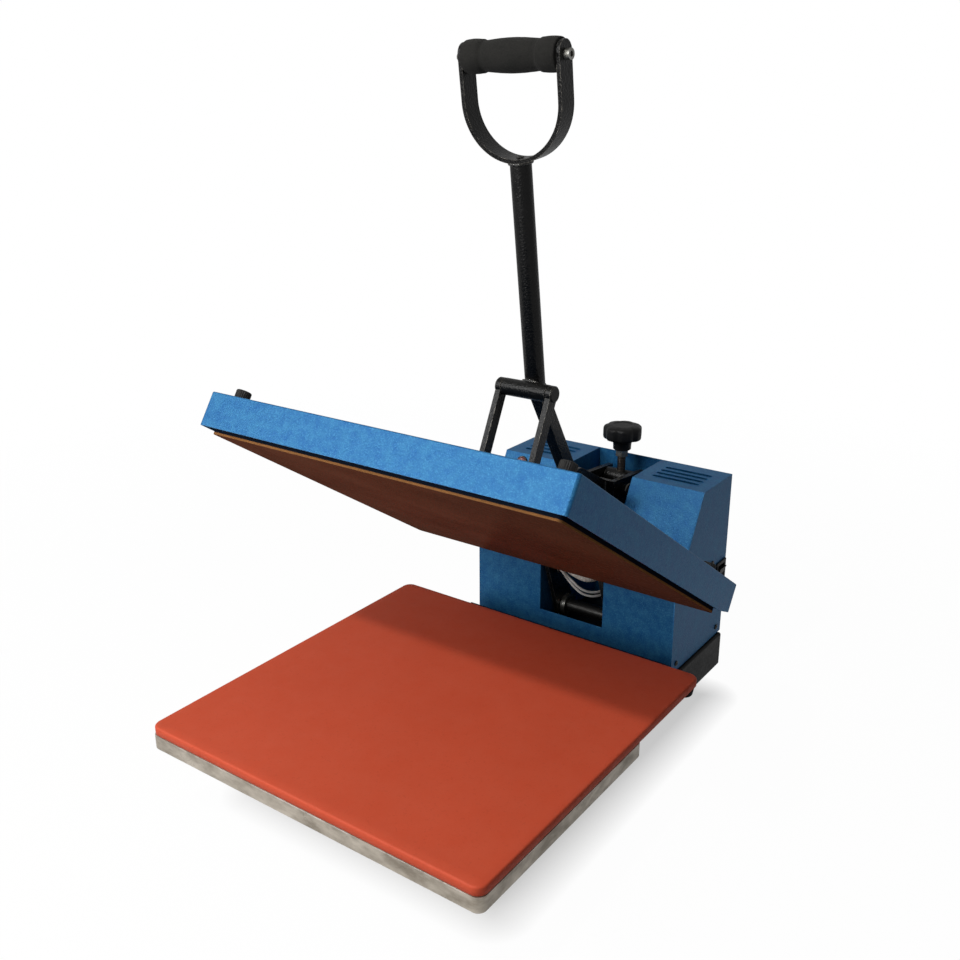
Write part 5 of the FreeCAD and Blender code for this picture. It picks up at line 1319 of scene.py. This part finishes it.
inletShape = {"x": 85.0, "z": -5.0, "front": 367.5, "tip": 379.6, "size": (2.2, 4.2), "ease": 0.5,
              "pins": ((-7.0, -2.0), (7.0, -2.0), (0.0, 2.0))}


def makeInletPins():
    w = inletShape
    form = bmesh.new()
    length = w["tip"] - w["front"]
    wide, tall = w["size"]
    for dx, dz in w["pins"]:
        seat = seatAt(w["x"] + dx, w["front"] + length / 2, w["z"] + dz)
        block((wide, length, tall), seat, w["ease"], form=form)
    newPiece("inletPins", form, "base", "zincSteel", sharp=30)


makeInletPins()
print("controls done")


# camera, floor and light

cameraPlace = {"at": (0.5609, -0.8007, 0.6543), "right": (0.8121, 0.5835, -0.0026),
               "up": (-0.1952, 0.2759, 0.9412), "back": (0.5499, -0.7638, 0.338),
               "lens": 39.82, "sensor": 36.0, "shift": (-0.0008, -0.0018)}
lens = bpy.data.cameras.new("photoCamera")
lens.lens = cameraPlace["lens"]
lens.sensor_width = cameraPlace["sensor"]
lens.shift_x, lens.shift_y = cameraPlace["shift"]
camera = bpy.data.objects.new("photoCamera", lens)
scene.collection.objects.link(camera)
turn = Matrix((cameraPlace["right"], cameraPlace["up"], cameraPlace["back"])).transposed()
camera.matrix_world = shift(*cameraPlace["at"]) @ turn.to_4x4()
scene.camera = camera

lampPlaces = {
    "keyLamp": {"at": (-0.15, -1.02, 1.603), "size": 0.09, "power": 10.8, "colour": (1.0, 0.985, 0.96)},
    "windowLamp": {"at": (-0.85, -1.2, 1.05), "size": 1.0, "power": 12.5, "colour": (1.0, 1.0, 1.0)},
    "frontLamp": {"at": (-0.15, -1.4, 0.62), "size": 0.9, "power": 7.0, "colour": (1.0, 0.99, 0.98)},
    "sideLamp": {"at": (2.2, -0.9, 1.6), "size": 1.6, "power": 2.0, "colour": (0.92, 0.96, 1.0)},
}
lampsAim = Vector((0, -0.05, 0.25))
for name, lampLook in lampPlaces.items():
    light = bpy.data.lights.new(name, "AREA")
    light.shape = "DISK"
    light.size = lampLook["size"]
    light.energy = lampLook["power"]
    light.color = lampLook["colour"]
    lamp = bpy.data.objects.new(name, light)
    scene.collection.objects.link(lamp)
    lamp.location = lampLook["at"]
    lamp.rotation_euler = (lampsAim - lamp.location).to_track_quat("-Z", "Y").to_euler()

roomLook = {"seen": 1.0, "mirrored": 0.45, "light": 0.095, "floorSeen": 0.98, "floorInPaintedShadow": 0.54,
            "floorMirrored": 0.4, "floorTone": 0.9, "floorBounce": 0.3, "floorRadius": 3.0,
            "floorFade": (0.6, 1.5)}
paintedShadowBox = {"x": 0.14, "middleY": 0.01, "y": 0.212, "fade": 0.042}     # painted shadow: the floor's white glow is cut back under the frame's footprint, darkening the floor there beyond the real shadow


def byRay(tree, seen, mirrored, other):         # a level that differs by what asks for it
    rays = addNode(tree, "LightPath")
    direct = maths(tree, "MAXIMUM", rays.outputs["Is Camera Ray"], rays.outputs["Is Transmission Ray"])
    return mixNumber(tree, rays.outputs["Is Glossy Ray"], mixNumber(tree, direct, other, seen), mirrored)


world = bpy.data.worlds.new("paleRoom")
world.use_nodes = True
scene.world = world
tree = world.node_tree
tree.nodes.clear()
level = byRay(tree, roomLook["seen"], roomLook["mirrored"], roomLook["light"])
sky = addNode(tree, "Background", {"Color": (1, 1, 1, 1), "Strength": level})
addNode(tree, "OutputWorld", {"Surface": sky.outputs[0]})


def makeFloor():
    look = roomLook
    form = bmesh.new()
    bmesh.ops.create_circle(form, cap_ends=True, segments=96, radius=look["floorRadius"])
    mesh = bpy.data.meshes.new("paleFloor")
    form.to_mesh(mesh)
    form.free()
    floor = bpy.data.objects.new("paleFloor", mesh)
    scene.collection.objects.link(floor)
    finish = bpy.data.materials.new("paleFloor")
    finish.use_nodes = True
    tree = finish.node_tree
    tree.nodes.clear()
    place = addNode(tree, "TexCoord").outputs["Object"]
    spot = addNode(tree, "SeparateXYZ", {0: place})
    outX = maths(tree, "SUBTRACT", maths(tree, "ABSOLUTE", spot.outputs["X"]), paintedShadowBox["x"])
    outY = maths(tree, "ABSOLUTE", maths(tree, "SUBTRACT", spot.outputs["Y"], paintedShadowBox["middleY"]))
    outY = maths(tree, "SUBTRACT", outY, paintedShadowBox["y"])
    outX, outY = [maths(tree, "MAXIMUM", out, 0.0) for out in (outX, outY)]
    out = vectors(tree, "LENGTH", addNode(tree, "CombineXYZ", {0: outX, 1: outY}).outputs[0])
    tone = byRay(tree, look["floorTone"], look["floorTone"], look["floorBounce"])
    grey = addNode(tree, "CombineColor", {0: tone, 1: tone, 2: tone}).outputs[0]
    shader = addNode(tree, "BsdfDiffuse", {"Color": grey})
    glow = addNode(tree, "Emission", {"Color": (1, 1, 1, 1), "Strength": 1.0})
    # painted shadow: less of the white glow under the footprint, so the floor darkens there, with the real
    # shadow showing through
    glowWithPaintedShadow = remap(tree, out, 0.0, paintedShadowBox["fade"], look["floorInPaintedShadow"], look["floorSeen"])
    share = byRay(tree, glowWithPaintedShadow, look["floorMirrored"], 0.0)
    both = addNode(tree, "MixShader", {0: share, 1: shader.outputs[0], 2: glow.outputs[0]})
    under = addNode(tree, "NewGeometry").outputs["Backfacing"]          # open to a look from below
    far = remap(tree, vectors(tree, "LENGTH", place), *look["floorFade"])
    clear = addNode(tree, "BsdfTransparent").outputs[0]
    faded = addNode(tree, "MixShader", {0: maths(tree, "MAXIMUM", far, under), 1: both.outputs[0], 2: clear})
    addNode(tree, "OutputMaterial", {"Surface": faded.outputs[0]})
    mesh.materials.append(finish)


makeFloor()
scene.view_settings.view_transform = "Standard"
print("camera, floor and light done")
